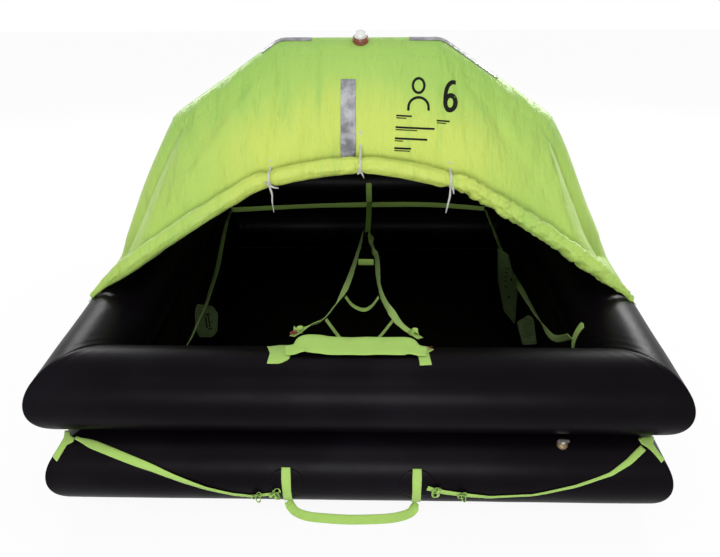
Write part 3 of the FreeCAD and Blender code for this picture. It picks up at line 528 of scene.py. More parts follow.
def sewAll():
    looks = {"lime": ("lime_webbing", webbingCloth("limeThread", (0.42, 0.60, 0.20), (0.25, 0.38, 0.10), 0.0008)),
             "red": ("lime_webbing", redThread), "black": ("black_coated_fabric", ink)}
    for thread, lines in stitchLines.items():
        if not lines:
            continue
        points, edges = [], []
        for line in lines:
            edges += [(len(points) + i, len(points) + i + 1) for i in range(len(line) - 1)]
            points += [Vector(p) * 0.001 for p in line]
        mesh = bpy.data.meshes.new(thread + "Lines")
        mesh.from_pydata(points, edges, [])
        source = bpy.data.objects.new(thread + "Lines", mesh)
        bpy.context.collection.objects.link(source)
        sewing = source.modifiers.new("stitches", "NODES")
        sewing.node_group = stitchRun
        ids = {item.name: item.identifier for item in stitchRun.interface.items_tree if item.in_out == "INPUT"}
        for name, value in (("Pitch", 0.0055), ("Length", 0.0038), ("Thread", 0.00055),
                            ("Material", looks[thread][1])):
            sewing[ids[name]] = value
        source.update_tag()
        evaluated = source.evaluated_get(bpy.context.evaluated_depsgraph_get())
        made = bpy.data.meshes.new_from_object(evaluated)
        bpy.data.objects.remove(source)
        obj = bpy.data.objects.new(thread + "_stitches", made)
        bpy.context.collection.objects.link(obj)
        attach(obj, "raft")


def crossBox(corners, lift):
    # the outline and the cross of a box stitch over four corners
    a, b, c, d = [Vector(p) + Vector(lift) for p in corners]
    return [[a, b], [b, c], [c, d], [d, a], [a, c], [b, d]]


# ---- buoyancy tubes

ringLook = {"around": 72, "along": 96, "creaseHeight": 1.6, "creaseReach": 130.0, "cloudHeight": 1.1}


def ringTube(name, halfWidth, halfLength, height, seed, node):
    radius, around, along = raft["tubeRadius"], ringLook["around"], ringLook["along"]
    sides = [((0, -halfLength), (1, 0), (0, -1), halfWidth), ((halfWidth, 0), (0, 1), (1, 0), halfLength),
             ((0, halfLength), (-1, 0), (0, 1), halfWidth), ((-halfWidth, 0), (0, -1), (-1, 0), halfLength)]
    points, travel, start = [], [], 0.0
    for middle, run, out, half in sides:
        for i in range(along):
            share = -math.cos(math.pi * i / along)
            for k in range(around):
                turn = 2 * math.pi * k / around
                c, s = math.cos(turn), math.sin(turn)
                reach = share * (half + radius * c)
                toMitre = (half + radius * c) * (1 - abs(share))
                x = middle[0] + run[0] * reach + out[0] * radius * c
                y = middle[1] + run[1] * reach + out[1] * radius * c
                z = height + radius * s
                fade = math.exp(-toMitre / ringLook["creaseReach"] * 2.2)
                ridge = math.sin(toMitre * 0.16 + 0.9 * math.sin(turn * 3 + seed)) * (0.55 - 0.45 * c)
                swell = ringLook["creaseHeight"] * fade * ridge * (1 - math.exp(-toMitre / 10.0))
                swell += ringLook["cloudHeight"] * noise.noise(Vector((x, y, z)) * 0.006 + Vector((seed, 0, 0)))
                swell -= 2.2 * math.exp(-toMitre / 7.0) * (0.6 - 0.4 * c)
                swell = min(swell, 2.0) if abs(s) < 0.97 else min(swell, 0.0)
                points.append((x + out[0] * swell * c, y + out[1] * swell * c, z + swell * s))
            travel.append(start + (share + 1) * half)
        start += 2 * half
    columns = len(travel)
    faces, runs = [], []
    for i in range(columns):
        n = (i + 1) % columns
        far = travel[n] if n else start
        for k in range(around):
            m = (k + 1) % around
            faces.append((i * around + k, n * around + k, n * around + m, i * around + m))
            for column, row in ((travel[i], k), (far, k), (far, k + 1), (travel[i], k + 1)):
                runs.append((column * 0.001, row / around * 2 * math.pi * radius * 0.001))
    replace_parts(turnOut(piece(name, points, faces, "black_coated_fabric", runs)), node)


rings = {"upper": (raft["halfWidth"], raft["halfLength"], raft["upperZ"]),
         "lower": (raft["lowerHalfWidth"], raft["lowerHalfLength"], raft["lowerZ"])}
ringTube("upper_tube_skin", *rings["upper"], 1.3, "upper_buoyancy_tube")
ringTube("lower_tube_skin", *rings["lower"], 4.1, "lower_buoyancy_tube")
print("stage: buoyancy tubes made")


# ---- cabin floor

floorLook = {"tuck": 27.0, "columns": 110, "rows": 130, "edge": 40.0, "fold": 7.0, "foot": 0.2, "thickness": 2.0}


def cabinFloor():
    halfX, halfY = raft["lowerHalfWidth"] - floorLook["tuck"], raft["lowerHalfLength"] - floorLook["tuck"]
    columns, rows, edge = floorLook["columns"], floorLook["rows"], floorLook["edge"]
    points = []
    for level in (0, 1):
        for i in range(columns + 1):
            for j in range(rows + 1):
                x = -halfX + 2 * halfX * i / columns
                y = -halfY + 2 * halfY * j / rows
                inside = ease(halfX - edge - abs(x), 0, 2 * edge) * ease(halfY - edge - abs(y), 0, 2 * edge)
                rise = max(0.0, noise.fractal(Vector((x * 0.004, y * 0.011, 2.0)), 0.9, 2.0, 4)) ** 0.8
                fold = floorLook["fold"] * rise + 2.0 * noise.noise(Vector((x * 0.02, y * 0.012, 7.0)))
                points.append((x, y, max(0.0, fold) * inside + floorLook["foot"] + level * floorLook["thickness"]))
    count = (columns + 1) * (rows + 1)
    step = rows + 1
    faces, runs = [], []
    for level in (0, 1):
        for i in range(columns):
            for j in range(rows):
                a = level * count + i * step + j
                quad = (a, a + step, a + step + 1, a + 1)
                quad = quad if level else quad[::-1]
                faces.append(quad)
                runs += [(points[v][0] * 0.001, points[v][1] * 0.001) for v in quad]
    rim = [i * step for i in range(columns + 1)] + [columns * step + j for j in range(1, rows + 1)]
    rim += [i * step + rows for i in range(columns - 1, -1, -1)] + [j for j in range(rows - 1, 0, -1)]
    for a, b in zip(rim, rim[1:] + rim[:1]):
        faces.append((a, b, b + count, a + count))
        runs += [(0, 0)] * 4
    obj = turnOut(piece("cabin_floor", points, faces, "black_coated_fabric", runs))
    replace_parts(obj, "raft_floor")


cabinFloor()


# ---- arch

archLook = {"radius": 75.0, "foot": 812.0, "kneeRise": 28.0, "shoulder": (597.0, 962.0), "ridge": (250.0, 1195.0),
            "around": 48, "step": 14.0, "pucker": 2.2}
archHalf = [(-archLook["foot"], raft["upperZ"] + 60), (-archLook["foot"], tubeTop + archLook["kneeRise"]),
            (-archLook["shoulder"][0], archLook["shoulder"][1]), (-archLook["ridge"][0], archLook["ridge"][1])]
archLine = archHalf + [(-x, z) for x, z in reversed(archHalf)]


def archTube():
    # runs of tube that meet in mitres, puckered at each bend
    radius, around = archLook["radius"] - 1, archLook["around"]
    line = [Vector((x, raft["archY"], z)) for x, z in archLine]
    rings, stops = [], []
    for a, b in zip(line, line[1:]):
        count = max(4, round((b - a).length / archLook["step"]))
        for i in range(count):
            rings.append((a.lerp(b, i / count), (b - a).normalized(), None))
        stops.append(len(rings))
    rings.append((line[-1], (line[-1] - line[-2]).normalized(), None))
    for number, stop in enumerate(stops[:-1]):
        before = (line[number + 1] - line[number]).normalized()
        after = (line[number + 2] - line[number + 1]).normalized()
        rings[stop] = (line[number + 1], before, after)

    def section(index, distance):
        centre, along, after = rings[index]
        out = Vector((0, 1, 0))
        side = along.cross(out).normalized()
        ring = []
        for k in range(around):
            turn = 2 * math.pi * k / around
            near = min(abs(index - stop) for stop in stops[:-1])
            swell = 0.8 * noise.noise(Vector((distance * 0.01, turn, 3.0)))
            swell -= archLook["pucker"] * math.exp(-near / 1.6) * (0.5 + 0.5 * math.sin(turn * 7))
            point = (out * math.cos(turn) + side * math.sin(turn)) * (radius + swell)
            if after is not None:
                plane = (along + after).normalized()
                point -= along * (point.dot(plane) / along.dot(plane))
            ring.append(centre + point)
        return ring

    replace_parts(turnOut(sweep("arch_tube", [r[0] for r in rings], section, "black_coated_fabric")), "canopy_arch")


archTube()
print("stage: floor and arch made")


# ---- canopy

canopyLook = {"clear": 81.0, "thickness": 2.4, "hemTurn": 40.0, "hemCornerY": -583.0, "doorTop": 895.0,
              "columnsEach": 11, "frontRows": 46, "arcRows": 14, "rearRows": 56, "wrapRows": 4, "rearSag": 26.0}
frontTurn = math.atan(1 / raft["frontSlope"])
frontTangent = (raft["archY"] - canopyLook["clear"] * math.sin(frontTurn),
                archLook["ridge"][1] + canopyLook["clear"] * math.cos(frontTurn))
hemReach = raft["tubeRadius"] + 3.0
hemX = raft["halfWidth"] + hemReach * math.cos(math.radians(canopyLook["hemTurn"]))
hemZ = raft["upperZ"] + hemReach * math.sin(math.radians(canopyLook["hemTurn"]))
wrapTurn = math.radians((90 - canopyLook["hemTurn"]) / 2)
wrapReach = (raft["tubeRadius"] + 5) / math.cos(wrapTurn / 2)
wrapOut, wrapZ = wrapReach * math.sin(wrapTurn), raft["upperZ"] + wrapReach * math.cos(wrapTurn)
doorLeft = [(-850, 359), (-740, 284), (-560, 172), (-430, 98), (-300, 41), (0, 0)]
doorRight = [(300, 45), (430, 100), (560, 173), (740, 284), (850, 359)]


def frontSheetY(height):
    return frontTangent[0] - raft["frontSlope"] * (frontTangent[1] - height)


def offsetCorner(before, corner, after, distance):
    first = Vector((corner[0] - before[0], corner[1] - before[1])).normalized()
    second = Vector((after[0] - corner[0], after[1] - corner[1])).normalized()
    mitre = Vector((-first.y - second.y, first.x + second.x)).normalized()
    stretch = distance / (mitre.x * -first.y + mitre.y * first.x)
    return (corner[0] + mitre.x * stretch, corner[1] + mitre.y * stretch)


def archOutline(distance):
    foot, knee, shoulder, ridge, far = archLine[:5]
    return (offsetCorner(foot, knee, shoulder, distance), offsetCorner(knee, shoulder, ridge, distance),
            offsetCorner(shoulder, ridge, far, distance))


def overArch(turn):
    y = raft["archY"] + canopyLook["clear"] * math.sin(turn)
    knee, shoulder, ridge = archOutline(canopyLook["clear"] * math.cos(turn))
    third = [(shoulder[0] + (ridge[0] - shoulder[0]) * s, shoulder[1] + (ridge[1] - shoulder[1]) * s)
             for s in (1 / 3, 2 / 3)]
    left = [(-hemX, hemZ), (max(knee[0] - 20, -hemX + 8), wrapZ), knee, shoulder, *third, ridge,
            (0, ridge[1])]
    return [Vector((x, y, z)) for x, z in left + [(-x, z) for x, z in reversed(left[:-1])]]


def keyRows():
    rows = []
    door = [Vector((x, frontSheetY(canopyLook["doorTop"] - drop), canopyLook["doorTop"] - drop))
            for x, drop in doorLeft + doorRight]
    corner = [Vector((-hemX, canopyLook["hemCornerY"], hemZ)),
              Vector((-raft["halfWidth"] - wrapOut, frontSheetY(wrapZ), wrapZ))]
    rows.append((corner + door + [Vector((-p.x, p.y, p.z)) for p in reversed(corner)], canopyLook["frontRows"]))
    rearTurn = math.atan((archLook["ridge"][1] + canopyLook["clear"] - tubeTop)
                         / (raft["halfLength"] - raft["archY"]))
    arcs = canopyLook["arcRows"]
    for i in range(arcs + 1):
        turn = -frontTurn + (rearTurn + frontTurn) * i / arcs
        rows.append((overArch(turn), 1 if i < arcs else canopyLook["rearRows"]))
    shares = (0.85, 0.7, 0.5, 0.3, 0)
    rearX = [-hemX, -raft["halfWidth"] - wrapOut, -raft["halfWidth"]] + [-raft["halfWidth"] * s for s in shares]

    def rearRow(y, z, first=None, second=None):
        half = [Vector((x, y, z)) for x in rearX]
        if first:
            half[0], half[1] = Vector(first), Vector(second)
        return half + [Vector((-p.x, p.y, p.z)) for p in reversed(half[:-1])]

    topZ = raft["upperZ"] + wrapReach
    length = raft["halfLength"]
    rows.append((rearRow(length, topZ, (rearX[0], length, hemZ), (rearX[1], length, wrapZ)), canopyLook["wrapRows"]))
    rows.append((rearRow(length + wrapOut, wrapZ, (rearX[0], length + wrapOut, hemZ),
                         (rearX[1], length + wrapOut, wrapZ)), canopyLook["wrapRows"]))
    rows.append((rearRow(length + hemX - raft["halfWidth"], hemZ), 0))
    return rows


# creases of the front sheet: line from (x, z) to (x, z), half width, height
frontCreases = [((-268, 1270), (-330, 900), 13, -8.0), ((-250, 1270), (-262, 905), 9, 6.0),
                ((-262, 1260), (-620, 790), 22, 7.0), ((-640, 1000), (-700, 690), 26, -10.0),
                ((-636, 1010), (-560, 700), 22, 7.0), ((265, 1270), (300, 905), 12, -8.0),
                ((282, 1262), (352, 880), 11, 7.5), ((290, 1250), (640, 760), 22, -8.0),
                ((640, 1010), (690, 700), 24, 9.0), ((632, 1015), (540, 730), 22, -7.0),
                ((-130, 1265), (-60, 905), 26, -5.0), ((130, 1265), (60, 930), 28, 5.0),
                ((-450, 1120), (-430, 830), 30, 6.5), ((460, 1120), (470, 830), 30, -6.5)]


def frontFolds(x, z):
    height = 0.0
    for (x0, z0), (x1, z1), width, rise in frontCreases:
        share = (z0 - z) / (z0 - z1)
        if -0.05 < share < 1.15:
            middle = x0 + (x1 - x0) * share
            spread = width * (0.6 + 0.8 * share)
            height += rise * bell(x, middle, spread) * ease(share, 0, 0.15) * (1 - ease(share, 0.85, 1.1))
    height += 3.0 * noise.noise(Vector((x * 0.006, z * 0.003, 5.0)))
    return height


def canopySheet():
    keys = keyRows()
    grid, kind = [], []
    each = canopyLook["columnsEach"]

    def widen(row):
        wide = []
        for a, b in zip(row, row[1:]):
            wide += [a.lerp(b, i / each) for i in range(each)]
        return wide + [row[-1]]

    for index, (row, count) in enumerate(keys):
        wide = widen(row)
        if index == len(keys) - 1:
            grid.append(wide)
            kind.append(("rearHem", 0.0))
            break
        nextRow = widen(keys[index + 1][0])
        label = ("front" if index == 0 else "arc" if index < len(keys) - 4
                 else "rear" if index == len(keys) - 4 else "wrap")
        for i in range(count):
            grid.append([a.lerp(b, i / count) for a, b in zip(wide, nextRow)])
            kind.append((label, i / count))
    rows, columns = len(grid), len(grid[0])
    for _ in range(3):  # soften the bends between flats
        smooth = [[p.copy() for p in row] for row in grid]
        for i in range(1, rows - 1):
            for j in range(1, columns - 1):
                smooth[i][j] = grid[i][j].lerp((grid[i][j - 1] + grid[i][j + 1]) * 0.5, 0.30)
        grid = smooth
    for i in range(rows):
        label, share = kind[i]
        for j in range(columns):
            p = grid[i][j]
            across = j / (columns - 1)
            side = ease(across, 0.0, 0.14) * ease(1 - across, 0.0, 0.14)
            if label == "front":
                fade = 1 - ease(share, 0.86, 1.0)
                p += sheetNormal * frontFolds(p.x, p.z) * fade * side
                gather = (1 - ease(share, 0.0, 0.16)) * (11.7 if p.x > 250 else 7.2)
                p += sheetNormal * side * gather * noise.noise(Vector((p.x * 0.022, p.z * 0.004, 3.0)))
            if label == "rear":
                dip = math.sin(math.pi * share)
                p.z -= canopyLook["rearSag"] * dip * side
                p.z += 6.0 * dip * noise.noise(Vector((p.x * 0.005, p.y * 0.002, 1.0)))
                p.z += 5.0 * dip * side * math.sin(p.x * 0.021 + p.y * 0.004)
            byArch = 1 - ease(abs(p.y - raft["archY"]), 90, 420)
            if p.x < -hemX + 420 and label != "wrap" and label != "rearHem":  # the left side bellies out
                p.x -= 13.0 * bell(p.z, 780, 190) * byArch
            if p.x > hemX - 420 and label != "wrap" and label != "rearHem":
                p.x += 9.0 * (bell(p.z, 900, 120) - bell(p.z, 600, 70)) * byArch
            if label in ("front", "rear"):
                p.x += 3.0 * noise.noise(Vector((p.y * 0.01, p.z * 0.01, 9.0))) * side
    clear = canopyLook["clear"] - 1.0
    segments = [(Vector((a[0], 0, a[1])), Vector((b[0], 0, b[1]))) for a, b in zip(archLine, archLine[1:])]
    for row in grid:  # keep the cloth off the arch and off the tubes
        for p in row:
            flat = Vector((p.x, 0, p.z))
            best, nearest = 1e9, None
            for a, b in segments:
                share = max(0.0, min(1.0, (flat - a).dot(b - a) / (b - a).length_squared))
                spot = a.lerp(b, share)
                centre = Vector((spot.x, raft["archY"], spot.z))
                if (p - centre).length < best:
                    best, nearest = (p - centre).length, centre
            if best < clear:
                p += (p - nearest).normalized() * (clear - best)
            room = raft["tubeRadius"] + 4
            overSide = abs(p.x) - raft["halfWidth"] > p.y - raft["halfLength"]
            axis, way = (math.copysign(raft["halfWidth"], p.x), 0) if overSide else (raft["halfLength"], 1)
            gap = Vector((p[way] - axis, p.z - raft["upperZ"]))
            if gap.length < room:
                gap = gap.normalized() * room
                p[way], p.z = axis + gap.x, raft["upperZ"] + gap.y
    front = canopyLook["frontRows"]
    seams = [[row[3 * each] for row in grid[3:-3]], [row[11 * each] for row in grid[3:-3]],
             [row[6 * each] for row in grid[front:-3]], [row[8 * each] for row in grid[front:-3]],
             [row[2] for row in grid[2:-2]], [row[-3] for row in grid[2:-2]], grid[-2][2:-2],
             grid[front][2 * each:-2 * each]]
    stitchWith("lime", [[p + (p - Vector((0, 200, 450))).normalized() * 0.9 for p in line] for line in seams])
    points = [p for row in grid for p in row]
    faces, runs = [], []
    for i in range(rows - 1):
        for j in range(columns - 1):
            a = i * columns + j
            quad = (a, a + 1, a + columns + 1, a + columns)
            faces.append(quad)
            runs += [(points[v].x * 0.001, (points[v].y + points[v].z) * 0.001) for v in quad]
    obj = piece("canopy_cloth", points, faces, "lime_canopy_cloth", runs)
    work = bmesh.new()
    work.from_mesh(obj.data)
    bmesh.ops.recalc_face_normals(work, faces=work.faces)
    work.faces.ensure_lookup_table()
    top = max(work.faces, key=lambda f: f.calc_center_median().z)
    if top.normal.z < 0:
        bmesh.ops.reverse_faces(work, faces=work.faces)
    work.to_mesh(obj.data)
    work.free()
    area = sum(f.area for f in obj.data.polygons)
    wall = obj.modifiers.new("wall", "SOLIDIFY")
    wall.thickness = canopyLook["thickness"] * 0.001
    wall.offset = -1
    return obj, area


sheetNormal = Vector((0, -1, raft["frontSlope"])).normalized()
canopy, canopyArea = canopySheet()
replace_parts(canopy, "canopy")
sheetTree = BVHTree.FromPolygons([v.co * 1000 for v in canopy.data.vertices],
                                 [tuple(f.vertices) for f in canopy.data.polygons])
canopyFlat = (2.62, 3.05)
print("stage: canopy made, area", round(canopyArea, 3))
round(min(canopyArea, canopyFlat[0] * canopyFlat[1]), 3)


def onSheet(x, z, lift=0.0):
    # the point of the front sheet seen straight along its normal, and its normal
    start = Vector((x, frontSheetY(z), z)) + sheetNormal * 120
    spot, normal, _, _ = sheetTree.ray_cast(start, -sheetNormal, 400)
    if spot is None:
        spot, normal = Vector((x, frontSheetY(z), z)), sheetNormal
    if normal.dot(sheetNormal) < 0:
        normal = -normal
    return spot + normal * lift, normal


# ---- marks on the front sheet

def frontTape():
    # reflective tape that crumples towards its lower end
    spots, faces = cutOut([(-65, 1158), (-15, 1158), (-14, 930), (-20, 914), (-60, 912), (-66, 930)], 5.0)
    points = []
    for x, z in spots:
        crumple = (1 - ease(z, 945, 1010)) * 3.2 * abs(math.sin(z * 0.16 + x * 0.05))
        crumple += 1.6 * max(0.0, noise.noise(Vector((x * 0.05, z * 0.02, 2.0))))
        points.append(onSheet(x, z, 0.6 + crumple)[0])
    runs = [(spots[v][0] * 0.001, spots[v][1] * 0.001) for face in faces for v in face]
    obj = piece("front_reflective_tape", points, faces, "retro_reflective", runs)
    wallOut(obj, 0.8, sheetNormal)
    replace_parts(obj, "reflective_strip_front")


frontTape()

# ruled bars: left end, height, length, width
bars = [(120, 1049, 52, 5), (120, 1041, 34, 3), (255, 1034, 44, 5), (256, 1026, 30, 3), (118, 1014, 130, 6),
        (118, 1005, 72, 3), (116, 980, 108, 6), (116, 971, 28, 3), (114, 950, 56, 6), (114, 941, 52, 3)]


def stroke(name, line, width, closed=False):
    # a printed line of one width on the front sheet
    spots = [Vector((p[0], p[1])) for p in line]
    count = len(spots)
    points, faces, runs = [], [], []
    for i, spot in enumerate(spots):
        before = spots[i - 1] if i or closed else spot
        after = spots[(i + 1) % count] if i < count - 1 or closed else spot
        side = (after - before).normalized().orthogonal() * width / 2
        for share in (-1, 0, 1):
            end = spot + side * share
            points.append(onSheet(end.x, end.y, 0.9)[0])
    for i in range(count if closed else count - 1):
        n = (i + 1) % count
        for quad in ((3 * i, 3 * n, 3 * n + 1, 3 * i + 1), (3 * i + 1, 3 * n + 1, 3 * n + 2, 3 * i + 2)):
            faces.append(quad)
            runs += [(points[v].x * 0.001, points[v].z * 0.001) for v in quad]
    obj = piece(name, points, faces, "lime_canopy_cloth", runs, ink)
    wallOut(obj, 0.2, sheetNormal)
    return obj


def oval(cx, cz, rx, rz, start=0, end=360, count=32):
    turns = [math.radians(start + (end - start) * i / count) for i in range(count + (end - start < 360))]
    return [(cx + rx * math.cos(t), cz + rz * math.sin(t)) for t in turns]


def inkMarks():
    # a plain figure, round head over shoulders, and the number of people
    shoulders = [(160, 1062)] + oval(194, 1070, 34, 32, 165, 15, 20) + [(228, 1062)]
    arm = smoothLine([(282.5, 1088, 0), (284, 1112, 0), (291, 1135, 0), (303, 1147, 0), (317, 1148, 0)], 3)
    made = [stroke("head", oval(194, 1138, 19, 22), 8, True), stroke("shoulders", shoulders, 8),
            stroke("bowl", oval(300, 1086, 16.5, 22), 14.5, True), stroke("arm", arm, 13)]
    for i, (x, z, length, width) in enumerate(bars):
        line = [(x + length * k / 8, z - width / 2 - length * 0.04 * k / 8) for k in range(9)]
        made.append(stroke("bar%d" % i, line, width))
    join("sheet_marks", *made)


inkMarks()
print("stage: marks made")


# ---- rolled door flap

rollLook = {"radius": 29.5, "around": 44, "step": 5.0, "pinch": 8.0, "layer": 2.8}
tiesAt = (-300, 2, 300)


def rollLine():
    down = Vector((0, -raft["frontSlope"], -1)).normalized()
    lift = sheetNormal * (rollLook["radius"] + 0.6) + down * 4.0
    half = [Vector((x, frontSheetY(canopyLook["doorTop"] - d), canopyLook["doorTop"] - d)) + lift
            for x, d in doorLeft + doorRight]
    half[0] += Vector((-6, 0, -6))
    half[-1] += Vector((6, 0, -6))
    for side, place in ((-1, 0), (1, len(half) + 1)):
        half.insert(place, Vector((side * 912, frontSheetY(488) - 8, 486)))
    return smoothLine(half, rollLook["step"])


rollPath = rollLine()


def doorRoll():
    total = len(rollPath) - 1

    def section(index, distance):
        centre = rollPath[index]
        along = (rollPath[min(index + 1, total)] - rollPath[max(index - 1, 0)]).normalized()
        first = along.cross(Vector((0, 0, 1))).normalized()
        second = along.cross(first).normalized()
        ends = min(distance, rollDistance - distance)
        taper = 0.30 + 0.70 * ease(ends, 0, 190)
        pinch = sum(bell(centre.x, x, 15) for x in tiesAt)
        gathered = sum(bell(centre.x, x, 60) for x in tiesAt)
        rough = 1.0 + 1.4 * ease(centre.x, 280, 360)
        ring = []
        for k in range(rollLook["around"]):
            turn = 2 * math.pi * k / rollLook["around"]
            radius = rollLook["radius"] * taper - rollLook["pinch"] * pinch
            layer = (turn / (2 * math.pi) + 0.30 + 0.04 * math.sin(distance * 0.008)) % 1.0
            radius -= rollLook["layer"] * layer
            twist = distance * 0.055 + 2.4 * math.sin(turn + distance * 0.006)
            lumps = noise.noise(Vector((distance * 0.03, math.cos(turn) * 1.4, math.sin(turn) * 1.4)))
            lumps += 2.0 * math.sin(twist) * noise.noise(Vector((distance * 0.012, turn * 0.7, 1.0)))
            radius += rough * 1.25 * lumps
            radius += rough * 0.7 * math.sin(k * 0.9 + distance * 0.13) * gathered
            pucker = ease(centre.x, 290, 340) * (1 - 0.4 * ease(centre.x, 640, 820))
            slant = distance * 0.10 + turn * 1.2
            radius += 7.0 * pucker * noise.noise(Vector((slant, math.cos(turn) * 0.8, math.sin(turn) * 0.8 + 4.0)))
            radius += 2.6 * noise.noise(Vector((distance * 0.006, turn * 2.2, 8.0)))  # long folds
            radius = min(radius, rollLook["radius"] + 3.5)
            ring.append(centre + first * radius * math.cos(turn) + second * radius * math.sin(turn))
        return ring

    rollDistance = sum((b - a).length for a, b in zip(rollPath, rollPath[1:]))
    obj = turnOut(sweep("door_roll_cloth", rollPath, section, "lime_canopy_cloth"))
    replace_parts(obj, "door_roll")


doorRoll()


def rollCentre(x):
    return min(rollPath, key=lambda p: abs(p.x - x))


def knot(name, centre, size, width, thickness, slotName, paint=None, turn=(0, 0, 0), seed=0):
    # a tightened overhand knot: a strap on a flattened trefoil
    points = []
    rotate = Matrix.Rotation(turn[2], 3, "Z") @ Matrix.Rotation(turn[1], 3, "Y") @ Matrix.Rotation(turn[0], 3, "X")
    for i in range(31):
        t = 2 * math.pi * i / 30.0 * 0.93
        p = Vector((math.sin(t) + 2 * math.sin(2 * t), -0.9 * math.sin(3 * t),
                    math.cos(t) - 2 * math.cos(2 * t))) / 3.0
        points.append(Vector(centre) + rotate @ (p * size))
    return strap(name, points, rotate @ Vector((0, 1, 0.2)), width=width, thickness=thickness, step=size * 0.12,
                 slotName=slotName, paint=paint, ripple=0.2, seed=seed)


def doorTie(name, x, topZ, tails, node):
    centre = rollCentre(x)
    lean = 90 - math.degrees(math.atan2(1, raft["frontSlope"]))
    clear = rollLook["radius"] - 3.5
    points = [onSheet(x, topZ, 0.9)[0], onSheet(x + 0.4, topZ - (topZ - centre.z) * 0.45, 1.0)[0]]
    for degrees in (38, 62, 86, 110, 134):
        turn = math.radians(degrees - lean)
        points.append(Vector((x, centre.y - clear * math.sin(turn), centre.z + clear * math.cos(turn))))
    made = [strap(name + "_body", points, (1, 0, 0), width=8, thickness=0.8, step=4, slotName="white_tape",
                  ripple=0.3, seed=x)]
    knotAt = points[-1] + Vector((0, -2, -2))
    made.append(knot(name + "_knot", knotAt, 7.5, 6.5, 0.8, "white_tape", turn=(0.5, 0.3, 0.4), seed=x))
    for k, tail in enumerate(tails):
        line = [knotAt + Vector((0, 1.5, 0))] + [knotAt + Vector(p) for p in tail]
        made.append(strap("%s_tail%d" % (name, k), line, (0.8, 0.6, 0), width=6.5, thickness=0.8, step=4,
                          twists=((0, 0), (0.5, 70), (1, 100)), slotName="white_tape", ripple=0.4, seed=k + x))
    join(name, *made, node=node)


doorTie("tie_left", tiesAt[0], 912, [[(4, -4, -10), (10, -6, -32), (9, -4, -60), (12, -3, -96)],
                                     [(8, -5, -3), (20, -7, -7), (33, -5, -10)], [(-5, -4, 6), (-14, -3, 9)]],
        "door_tie_left")
doorTie("tie_middle", tiesAt[1], 1000, [[(5, -4, -4), (9, -5, -13), (12, -4, -22)], [(-5, -3, -3), (-9, -4, -9)]],
        "door_tie_middle")
doorTie("tie_right", tiesAt[2], 905, [[(-2, -4, -12), (-3, -5, -34), (-9, -4, -66), (-14, -3, -92)],
                                      [(6, -5, -6), (10, -5, -24)]], "door_tie_right")
print("stage: door roll and ties made")


# ---- ridge strips and ridge light

def ridgeStrip(name, side, slopeShare, node):
    # tape over the ridge corner, in front of the crown
    crown, front = overArch(0), overArch(-frontTurn / 2)
    rows = []
    for step in range(31):
        share = step / 15 - 1
        end, reach = (3, slopeShare * -share) if share < 0 else (7, 0.4 * share)
        a, b = [row[6] + (row[end] - row[6]) * reach for row in (crown, front)]
        rows.append([Vector((-side * p.x, p.y, p.z)) for p in (a.lerp(b, k / 6 * 0.62 + 0.03) for k in range(7))])
    _, shoulder, ridge = archOutline(0)
    centreLine = [Vector((-side * x, raft["archY"], z)) for x, z in (shoulder, ridge, (0, archLook["ridge"][1]))]
    faces, runs, flat = [], [], []
    for row in rows:
        for p in row:
            best = None
            for a, b in zip(centreLine, centreLine[1:]):
                s = max(0.0, min(1.0, (p - a).dot(b - a) / (b - a).length_squared))
                spot = a.lerp(b, s)
                if best is None or (p - spot).length < (p - best).length:
                    best = spot
            lift = canopyLook["clear"] + 1.1 + 0.5 * noise.noise(p * 0.03)
            flat.append(best + (p - best).normalized() * lift)
    for i in range(30):
        for j in range(6):
            quad = (i * 7 + j, i * 7 + j + 1, i * 7 + j + 8, i * 7 + j + 7)
            faces.append(quad)
            runs += [(flat[v].x * 0.001, flat[v].y * 0.001) for v in quad]
    obj = piece(name, flat, faces, "retro_reflective", runs)
    wallOut(obj, 0.8, Vector((0, 0, 1)))
    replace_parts(obj, node)


ridgeStrip("ridge_tape_left", -1, 0.16, "reflective_strip_left")
ridgeStrip("ridge_tape_right", 1, 0.5, "reflective_strip_right")

lightLook = {"tilt": 20.0, "baseHeight": 22.0, "domeRadius": 22.0}
lightTurn, baseHeight, domeRadius = math.radians(lightLook["tilt"]), lightLook["baseHeight"], lightLook["domeRadius"]
lightAxis = Vector((0, -math.sin(lightTurn), math.cos(lightTurn)))
lightSeat = Vector((0, raft["archY"] - 80 * math.sin(lightTurn), archLook["ridge"][1] + 74 * math.cos(lightTurn)))
lathe("light_base", [(26, 0), (27, 3), (27, 9), (26.4, 10), (26.4, 11), (27, 12), (27, 15), (26, 17),
                     (24, baseHeight), (21, 22.4)], lightSeat, lightAxis, "light_base_plastic", node="ridge_light_base")
dome = [(domeRadius - 0.4, 0), (domeRadius, 0.8), (domeRadius, 6)]
dome += quarter(0, 6, domeRadius, 15.4, range(8, 88, 8)) + [(0.6, 21.4)]
lathe("light_dome", dome, lightSeat + lightAxis * baseHeight, lightAxis, "light_lens", node="ridge_light_dome")
print("stage: ridge light made")


# ---- patches bonded on the tubes

